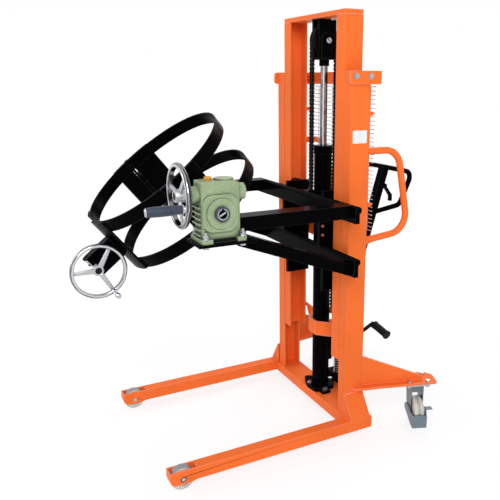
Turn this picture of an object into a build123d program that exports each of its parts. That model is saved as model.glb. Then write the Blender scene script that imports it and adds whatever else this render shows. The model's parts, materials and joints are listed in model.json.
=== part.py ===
from build123d import *
import os
from math import cos, hypot, pi, radians, sin, sqrt

# Drum stacker: a hand-pumped straddle lift whose carriage holds two hoops that grip a drum.
# Millimetres, +Z up, floor at Z = 0. The legs and the drum point along -Y, and +X is the
# side with the tilting gearbox ("near"; the other side is "far").
# Pieces are drawn about the mast's centre and set in the object's own frame when written.

os.makedirs("parts", exist_ok=True)

# Whole object
ROW_X = -40.1
ROW_Y = 346.3
TO_ROW = Location((ROW_X, ROW_Y, 0))
SIDES = {"near": 1, "far": -1}
RUN = 0.05
LOOSE = 0.2

# Straddle legs and their front rollers
LEG_IN = 319.5
LEG_TUBE = 50.0
LEG_OUT = LEG_IN + LEG_TUBE
LEG_WALL = 6.0
LEG_FRONT = -838.0
LEG_REAR = 55.0
LEG_LOW = 31.0
LEG_TOP = LEG_LOW + LEG_TUBE
LEG_NOSE_R = 24.0
LEG_NOSE_LOW = 26.0
LEG_NOSE_END = -752.0
LEG_NOSE_RISE = 16.0
SLOT_FRONT = -833.0
SLOT_END = -735.0
ROLLER_Y = -787.0
ROLLER_R = 44.5
ROLLER_WIDTH = 35.0
ROLLER_EDGE_R = 4.0
ROLLER_DISH_R = 30.0
ROLLER_DISH = 3.0
ROLLER_HUB_R = 18.0
AXLE_R = 8.0
AXLE_POCKET_R = 12.0
AXLE_POCKET = 3.0
GUSSET_FRONT = -52.0
GUSSET_TOP = 180.0
GUSSET_TOE = 7.0
GUSSET_SHEET = 8.0
GUSSET_SLOPE = 14.0

# Base box between the legs
BASE_FRONT = -52.5
BASE_TOP = 75.0
BASE_WALL = 8.0
SHELF_REAR = 182.0
SHELF_HALF = 110.0
SHELF_SIDE = 34.0

# Mast channels, open inwards
MAST_HALF_DEPTH = 44.0
FLANGE = 8.0
CHANNEL_CORNER = 6.0
OUTER_X = 307.5
OUTER_TIP = 249.5
OUTER_TOP = 1508.0
INNER_X = 245.7
INNER_TIP = 189.0
INNER_LOW = 312.0
INNER_TOP = 1715.0
TOP_PLATE = 18.0
TOP_PLATE_CORNER = 8.0
TOP_PLATE_EDGE = 1.5
TIE_HALF = 242.0
TIE_FOOT = 196.0
TIE_FRONT = 60.0
TIE_REAR = 65.0
TIE_LOW = 790.0
TIE_TOP = 850.0
SLIDE_OUT = 298.0
SLIDE_HALF = 35.5
SLIDE_LOW = 330.0
SLIDE_TOP = 400.0

# Bridge over the outer mast
BRIDGE_LOW = 1458.0
BRIDGE_FRONT = -59.0
BRIDGE_REAR = 85.0
BRIDGE_PLATE = 8.0
BRIDGE_NOSE_R = 12.0
BRIDGE_STRAP_HALF = 34.0
BRIDGE_STRAP_REAR = 94.0
BRIDGE_BOLT_Y = (-32.0, 34.5)
BRIDGE_BOLT_Z = 1488.0

# Lifting cylinder
CYL_Y = 17.0
BARREL_R = 38.5
BORE_R = 28.0
BARREL_LOW = 93.0
BARREL_FLOOR = 105.0
BARREL_TOP = 1195.0
GLAND_R = 41.0
GLAND_LOW = 1169.0
GLAND_TOP = 1203.0
BORE_TOP = 1161.0
ROD_R = 15.0
ROD_TOP = 1556.0
PISTON_LOW = 336.0
PISTON_LENGTH = 42.0
FOOT_R = 46.0
FOOT_CORNERS = [(-62, -14), (-3, -36), (48, -30), (52, 40), (5, 70)]
FOOT_CORNER_R = 16.0
FOOT_BOLTS = [(-3, -39), (9, 66)]
PORT_FROM = (62.0, -27.0)
PORT_TO = (98.0, 14.0)
PORT_TOP = 88.0
PORT_PLUG = 22.0
TANK_HALF = 26.0
TANK_REAR = 62.0
TANK_LOW = 207.0
TANK_TOP = 330.0

# Chain and its wheel
SHEAVE_Y = 17.0
SHEAVE_Z = 1631.0
SHEAVE_PITCH_R = 58.5
SHEAVE_FLANGE_R = 63.5
SHEAVE_SIDE = 3.0
SHEAVE_LIP = 2.0
SHEAVE_GROOVE_SIDE = 2.4
SHEAVE_GROOVE_DEPTH = 6.0
CHAIN_SEAT = 0.3
CHAIN_HALF_WIDTH = 10.0
CHAIN_THICK = 16.0
CHAIN_FRONT_LOW = 1015.0
CHAIN_REAR_LOW = 450.0
SHEAVE_AXLE_R = 10.0

# Crosshead over the ram
YOKE_IN = 16.0
YOKE_OUT = 28.0
YOKE_FRONT = -26.0
YOKE_REAR = 57.0
YOKE_LOW = 1556.0
YOKE_FLOOR = 1565.0
YOKE_FLOOR_FRONT = -20.0
COLLAR_R = 21.0
COLLAR_LOW = 1531.0
KEEPER_R = 33.0
KEEPER_OUT = 32.0
KEEPER_FRONT = -14.0
KEEPER_REAR = 31.0
KEEPER_LOW = 1563.0
SHEAVE_AXLE_END = 36.0

# Carriage
BEAM_HALF = 430.0
BEAM_FRONT = -96.0
BEAM_REAR = -77.0
UPPER_BEAM_LOW = 950.0
UPPER_NOSE_Z = 1001.0
LOWER_BEAM_LOW = 739.0
LOWER_NOSE_Z = 798.0
NOSE_R = 14.0
NOSE_Y = -82.0
CHEEK_IN = 150.0
CHEEK_OUT = 165.0
CHEEK_REAR = 34.0
CHEEK_LOW = 606.0
CHEEK_TOP = 1034.0
CHEEK_BOLT_Y = -83.0
CHEEK_BOLT_Z = (852.0, 890.0)
CHEEK_BOLT_HEAD = 12.0
TRACK_ROLLER_R = 35.5
TRACK_ROLLER_IN = 192.0
TRACK_ROLLER_OUT = 227.0
TRACK_ROLLER_EDGE = 2.0
TRACK_ROLLER_Z = {"upper": 1000.0, "lower": 642.0}
STUB_R = 12.5
STUB_END = 228.0
STUB_SHOULDER = 190.0
STUB_SHOULDER_R = 18.5
CHAIN_LUG_HALF = 16.0
CHAIN_LUG_REAR = -33.0
CHAIN_LUG_HEIGHT = 34.0

# Arms, struts and the tilt axis
ARM_IN = 335.0
ARM_OUT = 405.0
ARM_LOW = 968.0
ARM_TOP = 1018.0
ARM_WALL = 5.0
NEAR_ARM_END = -545.0
FAR_ARM_END = -600.0
NEAR_STRUT_END = -560.0
FAR_STRUT_END = -585.0
STRUT_IN = 350.0
STRUT_OUT = 400.0
STRUT_DEPTH = 48.0
STRUT_RISE = 175.0 / 459.0
PIVOT_Y = -650.0
PIVOT_Z = 1053.0
SHELF_FROM = (360.0, -735.0)
SHELF_TO = (490.0, -533.0)
ARM_CAP_IN = 345.0
ARM_CAP_END = -562.0
EAR_X = -362.0
EAR_SHEET = 12.0
EAR_HALF = 30.0
EAR_RISE = 52.0
EAR_NOSE = 60.0
EAR_BORE_R = 22.0
BEARING_OUT = -390.0
BEARING_R = 34.0
BEARING_FLANGE = 96.0
BEARING_CORNER = 20.0
BEARING_SHEET = 12.0
BEARING_SCREW = 36.0
FAR_TRUNNION_R = 20.0
FAR_TRUNNION_END = -394.0

# Worm gearbox
BOX_X = 425.0
BOX_IN = 388.0
BOX_OUT = 465.0
BOX_FRONT = -713.0
BOX_REAR = -578.0
BOX_FLOOR = 957.0
BOX_TOP = 1158.0
BOX_WALL = 10.0
BOX_PLATE = 10.0
BOX_CORNER = 8.0
BOX_EDGE = 5.0
BOX_BEVEL = (17.0, 13.0)
BOX_CAVITY_LOW = 977.0
PAD_IN = 364.0
PAD_OUT = 486.0
PAD_FRONT = -722.0
PAD_REAR = -563.0
PAD_TOP = 972.0
PAD_CORNER = 10.0
PAD_NOTCH_IN = 471.0
PAD_NOTCH = (-686.0, -598.0)
BOSS_R = 28.0
BOSS_FRONT = -738.0
BOSS_REAR = -551.0
FIN_COUNT = 6
FIN_LOW = 981.0
FIN_PITCH = 18.0
FIN_THICK = 5.0
FIN_DEPTH = 9.0
FIN_IN = 394.0
FIN_OUT = 459.0
TOP_DISC_Y = -620.0
TOP_DISC_R = 33.0
TOP_DISC_RISE = 5.0
BREATHER_X = 425.0
BREATHER_Y = -675.0
BREATHER_HEX = 20.0
BREATHER_R = 13.0
BREATHER_NECK = 6.0
BREATHER_RISE = 12.0
COVER_SIDE = 124.0
COVER_CORNER = 34.0
COVER_SHEET = 8.0
COVER_EDGE = 3.0
COVER_RING_R = 50.0
COVER_RING_RISE = 13.0
SPIGOT_R = 52.0
SPIGOT_BORE_R = 44.0
SPIGOT_DEPTH = 8.0
WORM_Z = 1114.0
WORM_SHAFT_R = 12.5
WORM_R = 18.0
WORM_TURNS = 6
WORM_PITCH = 11.0
WORM_LAND = 6.0
GEAR_R = 42.0
GEAR_TEETH = 20
GEAR_WIDTH = 28.0
TOOTH_DEPTH = 9.0
TOOTH_GAP = 5.0
HOLLOW_R = 25.0
HOLLOW_IN = 380.0
HOLLOW_OUT = 490.0
HOLLOW_CHAMFER = 2.0
KEY_HALF = 4.0
TRUNNION_R = 15.0
TRUNNION_END = 484.0
GEARBOX_BOLTS = [(x, y) for x in (376.0, 476.0) for y in (-707.0, -577.0)]
BOLT_R = 6.0
NUT = 17.0
NUT_HEIGHT = 9.0
HEAD_HEIGHT = 7.0

# Tilting hand-wheel
TILT_WHEEL_Y = -774.0
TILT_WHEEL_R = 108.0
TILT_HUB = (22.0, -18.0, 16.0)
TILT_GRIP_ANGLE = -15.0
TILT_GRIP_LENGTH = 118.0
TILT_GRIP_R = (13.0, 16.5, 14.5)
TILT_GRIP_SWELL = 62.0
TILT_STUB = 18.0
TILT_STUB_R = 9.0
TILT_PIN_R = 6.0
RIM_R = 10.0
SPOKE_THICK = 9.0
SPOKE_ROOT = 10.0
SPOKE_TIP = 7.0

# Drum clamp, drawn about the drum's axis with the tilt axis at its middle
TILT_DEG = 38.7
HOOP_IN = 296.0
HOOP_OUT = 302.0
PLATE_OUT = 310.0
HOOP_BANDS = [(92.0, 142.0), (-100.0, -50.0)]
CLAMP_LOW = -100.0
CLAMP_TOP = 142.0
FRAME_FROM = -102.0
FRAME_TO = 184.0
FRAME_PLATES = [(-14.0, 14.0), (164.0, 183.5), (-87.0, -68.0)]
GATE_FROM = 186.0
GATE_TO = 256.5
GATE_PLATES = [(186.5, 199.0), (248.0, 256.5)]
HINGE_ANGLE = 185.0
HINGE_CIRCLE = 312.0
HINGE_R = 9.0
HINGE_PIN_R = 5.0
FRAME_KNUCKLES = [(118.0, 142.0), (-100.0, -76.0)]
GATE_KNUCKLES = [(92.0, 117.5), (-75.5, -50.0)]
BOSS_END = 331.0
NEAR_BOSS_R = 32.0
FAR_BOSS_R = 30.0
SCREW_RADIAL = 413.0
SCREW_AXIAL = 13.0
SCREW_R = 8.0
SCREW_EYE_R = 16.0
SCREW_EYE_HALF = 10.0
SCREW_PIN_X = -74.0
SCREW_PIN_R = 7.0
SCREW_PIN_HALF = 22.0
SCREW_END = 90.0
GATE_LUG = 18.0
GATE_LUG_ROOT = 288.0
GATE_LUG_LOW = (-19.0, 11.0)
GATE_LUG_SHEET = 8.0
FORK_IN = 30.0
FORK_OUT = 42.0
FORK_LOW = -43.0
FORK_TOP = 47.0
FORK_WEB_IN = 6.0
FORK_WEB_OUT = 350.0
FORK_WEB = 12.0
FORK_SLOT = 10.0
CLAMP_WHEEL_X = 98.0
CLAMP_WHEEL_R = 103.0
CLAMP_RIM_R = 9.0
CLAMP_HUB = (20.0, -28.0, -3.0)
CLAMP_DISH = -7.0
CLAMP_COLLAR = (55.0, 72.0)
CLAMP_COLLAR_R = 14.0
CLAMP_GRIP_ANGLE = -59.0
CLAMP_GRIP_R = (7.0, 10.5)
CLAMP_GRIP_LENGTH = 66.0
CLAMP_GRIP_STUB = 14.0
CLAMP_STUB_R = 6.0

# Casters and their wings
CASTER_X = 364.0
CASTER_Y = 290.0
CASTER_HEADING = -21.5
CASTER_TRAIL = 18.0
CASTER_R = 60.0
CASTER_WIDTH = 44.0
CASTER_EDGE_R = 6.0
CASTER_GROOVE_R = 6.0
CASTER_AXLE_R = 6.0
CASTER_AXLE_HALF = 34.0
KINGPIN_R = 8.0
FORK_LEG = (24.0, 27.5)
CROWN_LOW = 173.0
CROWN_TOP = 179.0
CROWN_FRONT = 34.0
CROWN_REAR = -33.0
FORK_REAR = -44.0
APRON_LOW = 150.0
APRON_SHEET = 3.0
FORK_EYE = [(33, 64), (30, 48), (18, 43), (0, 47), (-28, 66)]
RACE_R = 30.0
RACE_TOP = 183.5
KINGPIN_TOP = 188.0
CASTER_PLATE_LOW = 184.0
CASTER_PLATE = (94.0, 104.0)
CASTER_BOLT = (37.0, 42.0)
CASTER_BOLT_R = 5.0
CASTER_PLATE_TURN = 19.0
WING_LOW = 190.0
WING_TOP = 200.0
WING_OUTLINE = [(307.5, -10), (324, 2), (338, 35), (355, 102), (391, 212), (417, 308), (432, 335), (430, 353),
                (369, 377), (330, 362), (296, 275), (262, 65), (262, 44), (307.5, 44)]
WING_FIN_FROM = (300.0, 44.0)
WING_FIN_TO = (381.0, 311.0)
WING_FIN_TOP = 334.0
WING_FIN_END = 217.0
WING_FIN_SHEET = 8.0
GUARD_FRONT = 84.0
GUARD_LOW = 3.0
GUARD_TOP = 62.0
GUARD_HALF = 32.0
GUARD_SHEET = 3.0
GUARD_SIDE = [(GUARD_FRONT, GUARD_LOW), (GUARD_FRONT, GUARD_TOP), (36, GUARD_TOP), (28, 74), (-20, 74),
              (-42, GUARD_TOP), (-42, 40), (60, GUARD_LOW)]
GUARD_BOSS_R = 13.0
BRAKE_AT = (58.0, 42.0)
BRAKE_PIN_R = 4.0
BRAKE_LEVER = [(48, 34), (66, 34), (64, 56), (56, 78), (40, 82), (44, 56)]
BRAKE_TAB = [(34, 74), (58, 74), (58, 78), (34, 78)]
BRAKE_SHEET = 4.0
BRAKE_REACH = 64.0

# Bow bracket that steadies the barrel
BOW_LOW = 347.0
BOW_TOP = 413.0
BOW_SHEET = 8.0
BOW_PATH = [(-110, 50), (-31, -26), (31, -26), (110, 50)]
BOW_FACE = 54.0
BOW_ROOT_IN = 106.0
BOW_ROOT_CURVE = [(134, 351), (165, 369), (183, 404)]
BOW_ROOT_OUT = 271.0
BOW_ROOT_TOP = 424.0
BOW_PAD_IN = 252.0
BOW_TIE_FRONT = 88.0
BOW_TIE_REAR = 96.0
BOW_TIE_LOW = 404.0
BOW_TIE_TOP = 440.0
BOW_TIE_END = 150.0
BOW_TIE_POST = 14.0
CHAIN_ANCHOR_LOW = 424.0
CHAIN_ANCHOR_FRONT = 68.0

# Channel behind the outer mast, and the gap left for the chain there and in the bridge
REAR_CHANNEL_FRONT = 67.0
REAR_CHANNEL_REAR = 100.0
REAR_CHANNEL_LOW = 766.0
REAR_CHANNEL_TOP = 822.0
REAR_CHANNEL_HALF = 228.0
REAR_WEB_HALF = 262.0
REAR_PAD_IN = 252.0
CHAIN_GAP = 20.0
CHAIN_GAP_REAR = 86.5

# Push handles and mesh guard
HANDLE_X = 287.0
HANDLE_R = 14.0
HANDLE_BEND = 78.0
HANDLE_PATH = [(20, 1203), (199, 1202), (264, 863), (20, 836)]
HANDLE_GUSSET = [(44, 824), (66, 824), (90, 831), (98, 843), (44, 838)]
HANDLE_GUSSET_HALF = 4.0
MESH_HALF = 264.0
MESH_LOW = 869.0
MESH_TOP = 1450.0
MESH_Y = 94.0
MESH_WIRE = 4.0
MESH_FOOT = (200.0, 212.0)
MESH_RIM = 14.0
MESH_COLUMNS = 8
MESH_ROWS = 37

# Hand pump, tiller and foot pedal
PUMP_HALF = 70.0
PUMP_FRONT = 92.0
PUMP_REAR = 178.0
PUMP_TOP = 112.0
PUMP_CORNER = 12.0
PUMP_EAR = [(126, 111), (174, 111), (174, 236), (162, 272), (138, 272), (126, 236)]
PUMP_EAR_IN = 29.0
PUMP_EAR_OUT = 41.0
PEDAL_POST = (50.0, 64.0, 104.0, 136.0)
PEDAL_POST_RISE = 18.0
VALVE_AT = (64.0, 150.0)
VALVE_R = 9.0
VALVE_TOP = 176.0
PLUNGER_Y = 112.0
PLUNGER_R = 12.0
PLUNGER_FOOT = 81.0
PLUNGER_TOP = 205.0
CAP_R = 20.0
CAP_THICK = 8.0
SPRING_R = 17.0
SPRING_WIRE_R = 2.2
SPRING_TURNS = 7
SPRING_SEAT = 0.3
TILLER_Y = 150.0
TILLER_Z = 250.0
TILLER_KNEE = (190.0, 576.0)
TILLER_TOP = (345.0, 1093.0)
TILLER_HALF = 17.0
TILLER_LAP = 3.0
TILLER_HUB_R = 24.0
TILLER_HUB_HALF = 28.0
TILLER_PIN_R = 10.0
TILLER_PIN_HALF = 46.0
TILLER_PIN_HEAD = 30.0
TAPPET_Z = 219.0
TAPPET_R = 13.0
TAPPET_HALF = 14.0
TAPPET_ARM_R = 10.5
LOOP_R = 11.0
LOOP_BEND = 34.0
LOOP_CORNERS = [(0, 318), (178, 388), (203, 536), (0, 537)]
TRIGGER_AT = 455.0
TRIGGER_BACK = 28.0
TRIGGER_PIN_R = 3.0
TRIGGER_CHEEK = [(-12, -10), (12, -10), (7, -35), (-7, -35)]
TRIGGER_CHEEK_IN = 11.0
TRIGGER_CHEEK_OUT = 15.0
TRIGGER_EYE_R = 6.5
TRIGGER_EYE_HALF = 10.5
TRIGGER_LEVER = [(4.8, -3.5), (-15.2, -30.5), (-31, -54), (-49, -60), (-61, -62.5), (-63, -50), (-52, -47.5),
                 (-40.5, -43.5), (-24.8, -23.5), (-4.8, 3.5)]
TRIGGER_HALF = 8.0
PEDAL_Y = 120.0
PEDAL_Z = 320.0
PEDAL_X = 100.0
PEDAL_IN = 46.0
PEDAL_R = 8.5
PEDAL_HUB_R = 15.0
PEDAL_HUB_HALF = 14.0
PEDAL_KNEE = (239.0, 377.0)
PEDAL_GRIP_END = (200.0, 247.0, 353.0)
PEDAL_GRIP_R = 16.0
PEDAL_GRIP_FROM = 0.16
PEDAL_GRIP_TO = 0.98
PEDAL_COLLARS = [(0.94, 1.0, 20.0), (0.12, 0.18, 19.0)]


# Helpers

def keep(piece, label):
    """Name a finished piece, set it in the object's frame and write its file."""
    piece.label = label
    export_step(piece.moved(TO_ROW), f"parts/{label}.step")


def slab(x0, x1, y0, y1, z0, z1, mode=Mode.ADD):
    """A box between two corners."""
    with Locations(((x0 + x1) / 2, (y0 + y1) / 2, (z0 + z1) / 2)):
        Box(abs(x1 - x0), abs(y1 - y0), abs(z1 - z0), mode=mode)


def rod(start, end, radius, mode=Mode.ADD):
    """A round bar from one point to another."""
    first = Vector(*start)
    along = Vector(*end) - first
    with Locations(Plane(origin=first, z_dir=along)):
        Cylinder(radius, along.length, align=(Align.CENTER, Align.CENTER, Align.MIN), mode=mode)


def hexagon(start, end, across, mode=Mode.ADD):
    """A six-sided bar, as on a bolt head, from one point to another."""
    first = Vector(*start)
    along = Vector(*end) - first
    with BuildSketch(Plane(origin=first, z_dir=along)) as outline:
        RegularPolygon(across / 2, 6, major_radius=False)
    extrude(outline.sketch, amount=along.length, mode=mode)


def prism(plane, points, depth, mode=Mode.ADD):
    """A straight-sided plate drawn on a plane."""
    with BuildSketch(plane) as outline:
        with BuildLine():
            Polyline(*points, close=True)
        make_face()
    extrude(outline.sketch, amount=depth, mode=mode)


def arc_band(plane, inner, outer, start, end, mode=Mode.ADD, depth=0.0):
    """Part of a ring between two angles."""
    with BuildSketch(plane) as outline:
        with BuildLine():
            far = CenterArc((0, 0), outer, start, end - start)
            close = CenterArc((0, 0), inner, start, end - start)
            Line(far @ 0, close @ 0)
            Line(far @ 1, close @ 1)
        make_face()
    extrude(outline.sketch, amount=depth, mode=mode)


def bent_tube(points, radius, bend):
    """A round tube along straight runs joined by bends."""
    with BuildLine() as route:
        FilletPolyline(*points, radius=bend)
    with BuildSketch(Plane(origin=route.line @ 0, z_dir=route.line % 0)) as section:
        Circle(radius)
    sweep(section.sketch, path=route.line)


def channel(side, tip, web, low, top):
    """A mast channel that opens towards the middle of the mast."""
    deep = MAST_HALF_DEPTH
    inner = deep - FLANGE
    points = [(tip, -deep), (web, -deep), (web, deep), (tip, deep)]
    points += [(tip, inner), (web - FLANGE, inner), (web - FLANGE, -inner), (tip, -inner)]
    prism(Plane.XY.offset(low), [(side * x, y) for x, y in points], top - low)


def hand_wheel(plane, outer, rim, hub, first_spoke, dish=0.0):
    """A three-spoked wheel about the plane's normal, its spokes set back by the dish."""
    ring = outer - rim
    hub_r, hub_low, hub_top = hub
    with Locations(plane):
        Torus(ring, rim)
    with BuildSketch(plane.offset(hub_low)) as boss:
        Circle(hub_r)
    extrude(boss.sketch, amount=hub_top - hub_low)
    for turn in range(3):
        angle = radians(first_spoke + 120 * turn)
        outward = plane.x_dir * cos(angle) + plane.y_dir * sin(angle)
        middle = Plane(origin=plane.origin, x_dir=outward, z_dir=plane.z_dir)
        edge = [(0, -SPOKE_ROOT), (ring, -SPOKE_TIP), (ring, SPOKE_TIP), (0, SPOKE_ROOT)]
        prism(middle.offset(dish - SPOKE_THICK / 2), edge, SPOKE_THICK)


# Chassis: legs with the gussets that tie them to the mast

for name, side in SIDES.items():
    with BuildPart() as leg:
        profile = [(LEG_FRONT, LEG_TOP), (LEG_FRONT, LEG_NOSE_LOW), (LEG_NOSE_END, LEG_NOSE_LOW),
                   (LEG_NOSE_END + LEG_NOSE_RISE, LEG_LOW), (LEG_REAR, LEG_LOW), (LEG_REAR, LEG_TOP)]
        prism(Plane.YZ.offset(min(side * LEG_IN, side * LEG_OUT)), profile, LEG_TUBE)
        front = leg.edges().filter_by(Axis.X).group_by(Axis.Y)[0]
        fillet(front.group_by(Axis.Z)[0], radius=LEG_NOSE_R)
        cheek_in = side * (LEG_IN + LEG_WALL)
        cheek_out = side * (LEG_OUT - LEG_WALL)
        slab(cheek_in, cheek_out, SLOT_FRONT, SLOT_END, LEG_NOSE_LOW - 1, LEG_TOP + 1, Mode.SUBTRACT)
        slab(cheek_in, cheek_out, SLOT_END + LEG_WALL, LEG_REAR + 1,
             LEG_LOW + LEG_WALL, LEG_TOP - LEG_WALL, Mode.SUBTRACT)
        rod((side * (LEG_IN - 1), ROLLER_Y, ROLLER_R), (side * (LEG_OUT + 1), ROLLER_Y, ROLLER_R),
            AXLE_R + LOOSE, Mode.SUBTRACT)
        rod((side * (LEG_OUT - AXLE_POCKET), ROLLER_Y, ROLLER_R), (side * (LEG_OUT + 1), ROLLER_Y, ROLLER_R),
            AXLE_POCKET_R, Mode.SUBTRACT)
        toe = LEG_TOP + GUSSET_TOE
        slope = [(OUTER_X, GUSSET_TOP), (LEG_OUT, toe), (LEG_OUT, LEG_TOP), (LEG_OUT - GUSSET_SHEET, LEG_TOP),
                 (OUTER_X, GUSSET_TOP - GUSSET_SLOPE)]
        rib = [(OUTER_X, GUSSET_TOP), (LEG_OUT, toe), (LEG_OUT, LEG_TOP), (OUTER_X, LEG_TOP)]
        rear_face = Plane.XZ.offset(-MAST_HALF_DEPTH)
        prism(rear_face, [(side * x, z) for x, z in slope], MAST_HALF_DEPTH - GUSSET_FRONT)
        prism(rear_face, [(side * x, z) for x, z in rib], GUSSET_SHEET)
        prism(Plane.XZ.offset(-GUSSET_FRONT - GUSSET_SHEET), [(side * x, z) for x, z in rib], GUSSET_SHEET)
    keep(leg.part, f"leg_{name}")

with BuildPart() as base_box:
    slab(-LEG_IN, LEG_IN, BASE_FRONT, LEG_REAR, LEG_LOW, BASE_TOP)
    slab(-LEG_IN + BASE_WALL, LEG_IN - BASE_WALL, BASE_FRONT + BASE_WALL, LEG_REAR - BASE_WALL,
         LEG_LOW - 1, BASE_TOP - BASE_WALL, Mode.SUBTRACT)
    slab(-SHELF_HALF, SHELF_HALF, LEG_REAR - 1, SHELF_REAR, BASE_TOP - BASE_WALL, BASE_TOP)
    for x in (-SHELF_HALF, SHELF_HALF - BASE_WALL):
        slab(x, x + BASE_WALL, LEG_REAR - 1, SHELF_REAR, BASE_TOP - SHELF_SIDE, BASE_TOP)
keep(base_box.part, "base_box")

# Outer mast

for name, side in SIDES.items():
    with BuildPart() as upright:
        channel(side, OUTER_TIP, OUTER_X, BASE_TOP, OUTER_TOP)
        corners = upright.edges().filter_by(Axis.Z).group_by(Axis.X)
        fillet(corners[-1 if side > 0 else 0], radius=CHANNEL_CORNER)
    keep(upright.part, f"outer_mast_{name}")

with BuildPart() as bridge:
    for side in SIDES.values():
        slab(side * OUTER_X, side * (OUTER_X + BRIDGE_PLATE), BRIDGE_FRONT, BRIDGE_REAR,
             BRIDGE_LOW, OUTER_TOP)
    slab(-OUTER_X, OUTER_X, BRIDGE_REAR - BRIDGE_PLATE, BRIDGE_REAR, BRIDGE_LOW, OUTER_TOP)
    nose = bridge.edges().filter_by(Axis.X).group_by(Axis.Y)[0]
    fillet(nose, radius=BRIDGE_NOSE_R)
    slab(-BRIDGE_STRAP_HALF, BRIDGE_STRAP_HALF, BRIDGE_REAR - 1, BRIDGE_STRAP_REAR, BRIDGE_LOW, OUTER_TOP)
    slab(-CHAIN_GAP, CHAIN_GAP, BRIDGE_REAR - BRIDGE_PLATE - 1, CHAIN_GAP_REAR,
         BRIDGE_LOW - 1, OUTER_TOP + 1, Mode.SUBTRACT)
keep(bridge.part, "mast_top_bridge")

# Bow bracket round the barrel, with the bar and lug on its near root that hold the chain's rear end

with BuildPart() as bow:
    with BuildSketch(Plane.XY.offset(BOW_LOW)) as strip:
        with BuildLine():
            spine = Polyline(*BOW_PATH)
            offset(spine, amount=BOW_SHEET / 2, side=Side.BOTH, kind=Kind.INTERSECTION)
        make_face()
    extrude(strip.sketch, amount=BOW_TOP - BOW_LOW)
    for side in SIDES.values():
        curve = [(side * x, z) for x, z in BOW_ROOT_CURVE]
        with BuildSketch(Plane.XZ.offset(-BOW_FACE)) as root:
            with BuildLine():
                Polyline((side * BOW_ROOT_IN, BOW_TOP), (side * BOW_ROOT_IN, BOW_LOW), curve[0])
                ThreePointArc(*curve)
                Polyline(curve[-1], (side * BOW_ROOT_OUT, curve[-1][1]), (side * BOW_ROOT_OUT, BOW_ROOT_TOP),
                         (side * BOW_PAD_IN, BOW_ROOT_TOP), (side * BOW_ROOT_IN, BOW_TOP))
            make_face()
        extrude(root.sketch, amount=BOW_SHEET)
        slab(side * BOW_PAD_IN, side * BOW_ROOT_OUT, MAST_HALF_DEPTH, BOW_FACE - BOW_SHEET + 1,
             BOW_TIE_LOW, BOW_ROOT_TOP)
    slab(-CHAIN_HALF_WIDTH, BOW_TIE_END, BOW_TIE_FRONT, BOW_TIE_REAR, BOW_TIE_LOW, BOW_TIE_TOP)
    slab(BOW_TIE_END - BOW_TIE_POST, BOW_TIE_END, BOW_FACE - 1, BOW_TIE_REAR, BOW_TIE_LOW, BOW_TIE_TOP)
    slab(-CHAIN_HALF_WIDTH, CHAIN_HALF_WIDTH, CHAIN_ANCHOR_FRONT, BOW_TIE_FRONT + 1,
         CHAIN_ANCHOR_LOW, CHAIN_REAR_LOW)
keep(bow.part, "bow_bracket")

# Channel that ties the outer mast at the back, cut away in the middle for the chain

with BuildPart() as rear_channel:
    inner = REAR_CHANNEL_FRONT + FLANGE
    profile = [(REAR_CHANNEL_FRONT, REAR_CHANNEL_LOW), (REAR_CHANNEL_REAR, REAR_CHANNEL_LOW),
               (REAR_CHANNEL_REAR, REAR_CHANNEL_LOW + FLANGE), (inner, REAR_CHANNEL_LOW + FLANGE),
               (inner, REAR_CHANNEL_TOP - FLANGE), (REAR_CHANNEL_REAR, REAR_CHANNEL_TOP - FLANGE),
               (REAR_CHANNEL_REAR, REAR_CHANNEL_TOP), (REAR_CHANNEL_FRONT, REAR_CHANNEL_TOP)]
    prism(Plane.YZ.offset(-REAR_CHANNEL_HALF), profile, 2 * REAR_CHANNEL_HALF)
    slab(-REAR_WEB_HALF, REAR_WEB_HALF, REAR_CHANNEL_FRONT, inner, REAR_CHANNEL_LOW, REAR_CHANNEL_TOP)
    slab(-CHAIN_GAP, CHAIN_GAP, REAR_CHANNEL_FRONT - 1, CHAIN_GAP_REAR,
         REAR_CHANNEL_LOW - 1, REAR_CHANNEL_TOP + 1, Mode.SUBTRACT)
    for side in SIDES.values():
        slab(side * REAR_PAD_IN, side * REAR_WEB_HALF, MAST_HALF_DEPTH, REAR_CHANNEL_FRONT + 1,
             REAR_CHANNEL_LOW, REAR_CHANNEL_TOP)
keep(rear_channel.part, "mast_rear_channel")

# Wings that carry the casters, each with an upright fin


def caster_bolts(side):
    """Where the bolts of one caster's plate stand."""
    turn = radians(CASTER_PLATE_TURN)
    spots = []
    for dx in (-CASTER_BOLT[0], CASTER_BOLT[0]):
        for dy in (-CASTER_BOLT[1], CASTER_BOLT[1]):
            spots.append((side * (CASTER_X + dx * cos(turn) + dy * sin(turn)),
                          CASTER_Y - dx * sin(turn) + dy * cos(turn)))
    return spots


with BuildPart() as wings:
    for side in SIDES.values():
        prism(Plane.XY.offset(WING_LOW), [(side * x, y) for x, y in WING_OUTLINE], WING_TOP - WING_LOW)
        for x, y in caster_bolts(side):
            rod((x, y, WING_LOW - 1), (x, y, WING_TOP + 1), CASTER_BOLT_R + LOOSE, Mode.SUBTRACT)
        foot = Vector(side * WING_FIN_FROM[0], WING_FIN_FROM[1], 0)
        run = Vector(side * WING_FIN_TO[0], WING_FIN_TO[1], 0) - foot
        upright_face = Plane(origin=foot, x_dir=run, z_dir=run.cross(Vector(0, 0, 1)))
        fin = [(-WING_FIN_SHEET, WING_TOP - 1), (-WING_FIN_SHEET, WING_FIN_TOP), (0, WING_FIN_TOP),
               (run.length, WING_FIN_END), (run.length, WING_TOP - 1)]
        prism(upright_face.offset(-WING_FIN_SHEET / 2), fin, WING_FIN_SHEET)
        slab(side * OUTER_TIP, side * OUTER_X, -MAST_HALF_DEPTH, MAST_HALF_DEPTH,
             WING_LOW - 1, WING_FIN_TOP + 1, Mode.SUBTRACT)
keep(wings.part, "caster_wings")

# Push handles, each with a small gusset under its lower end

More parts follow.
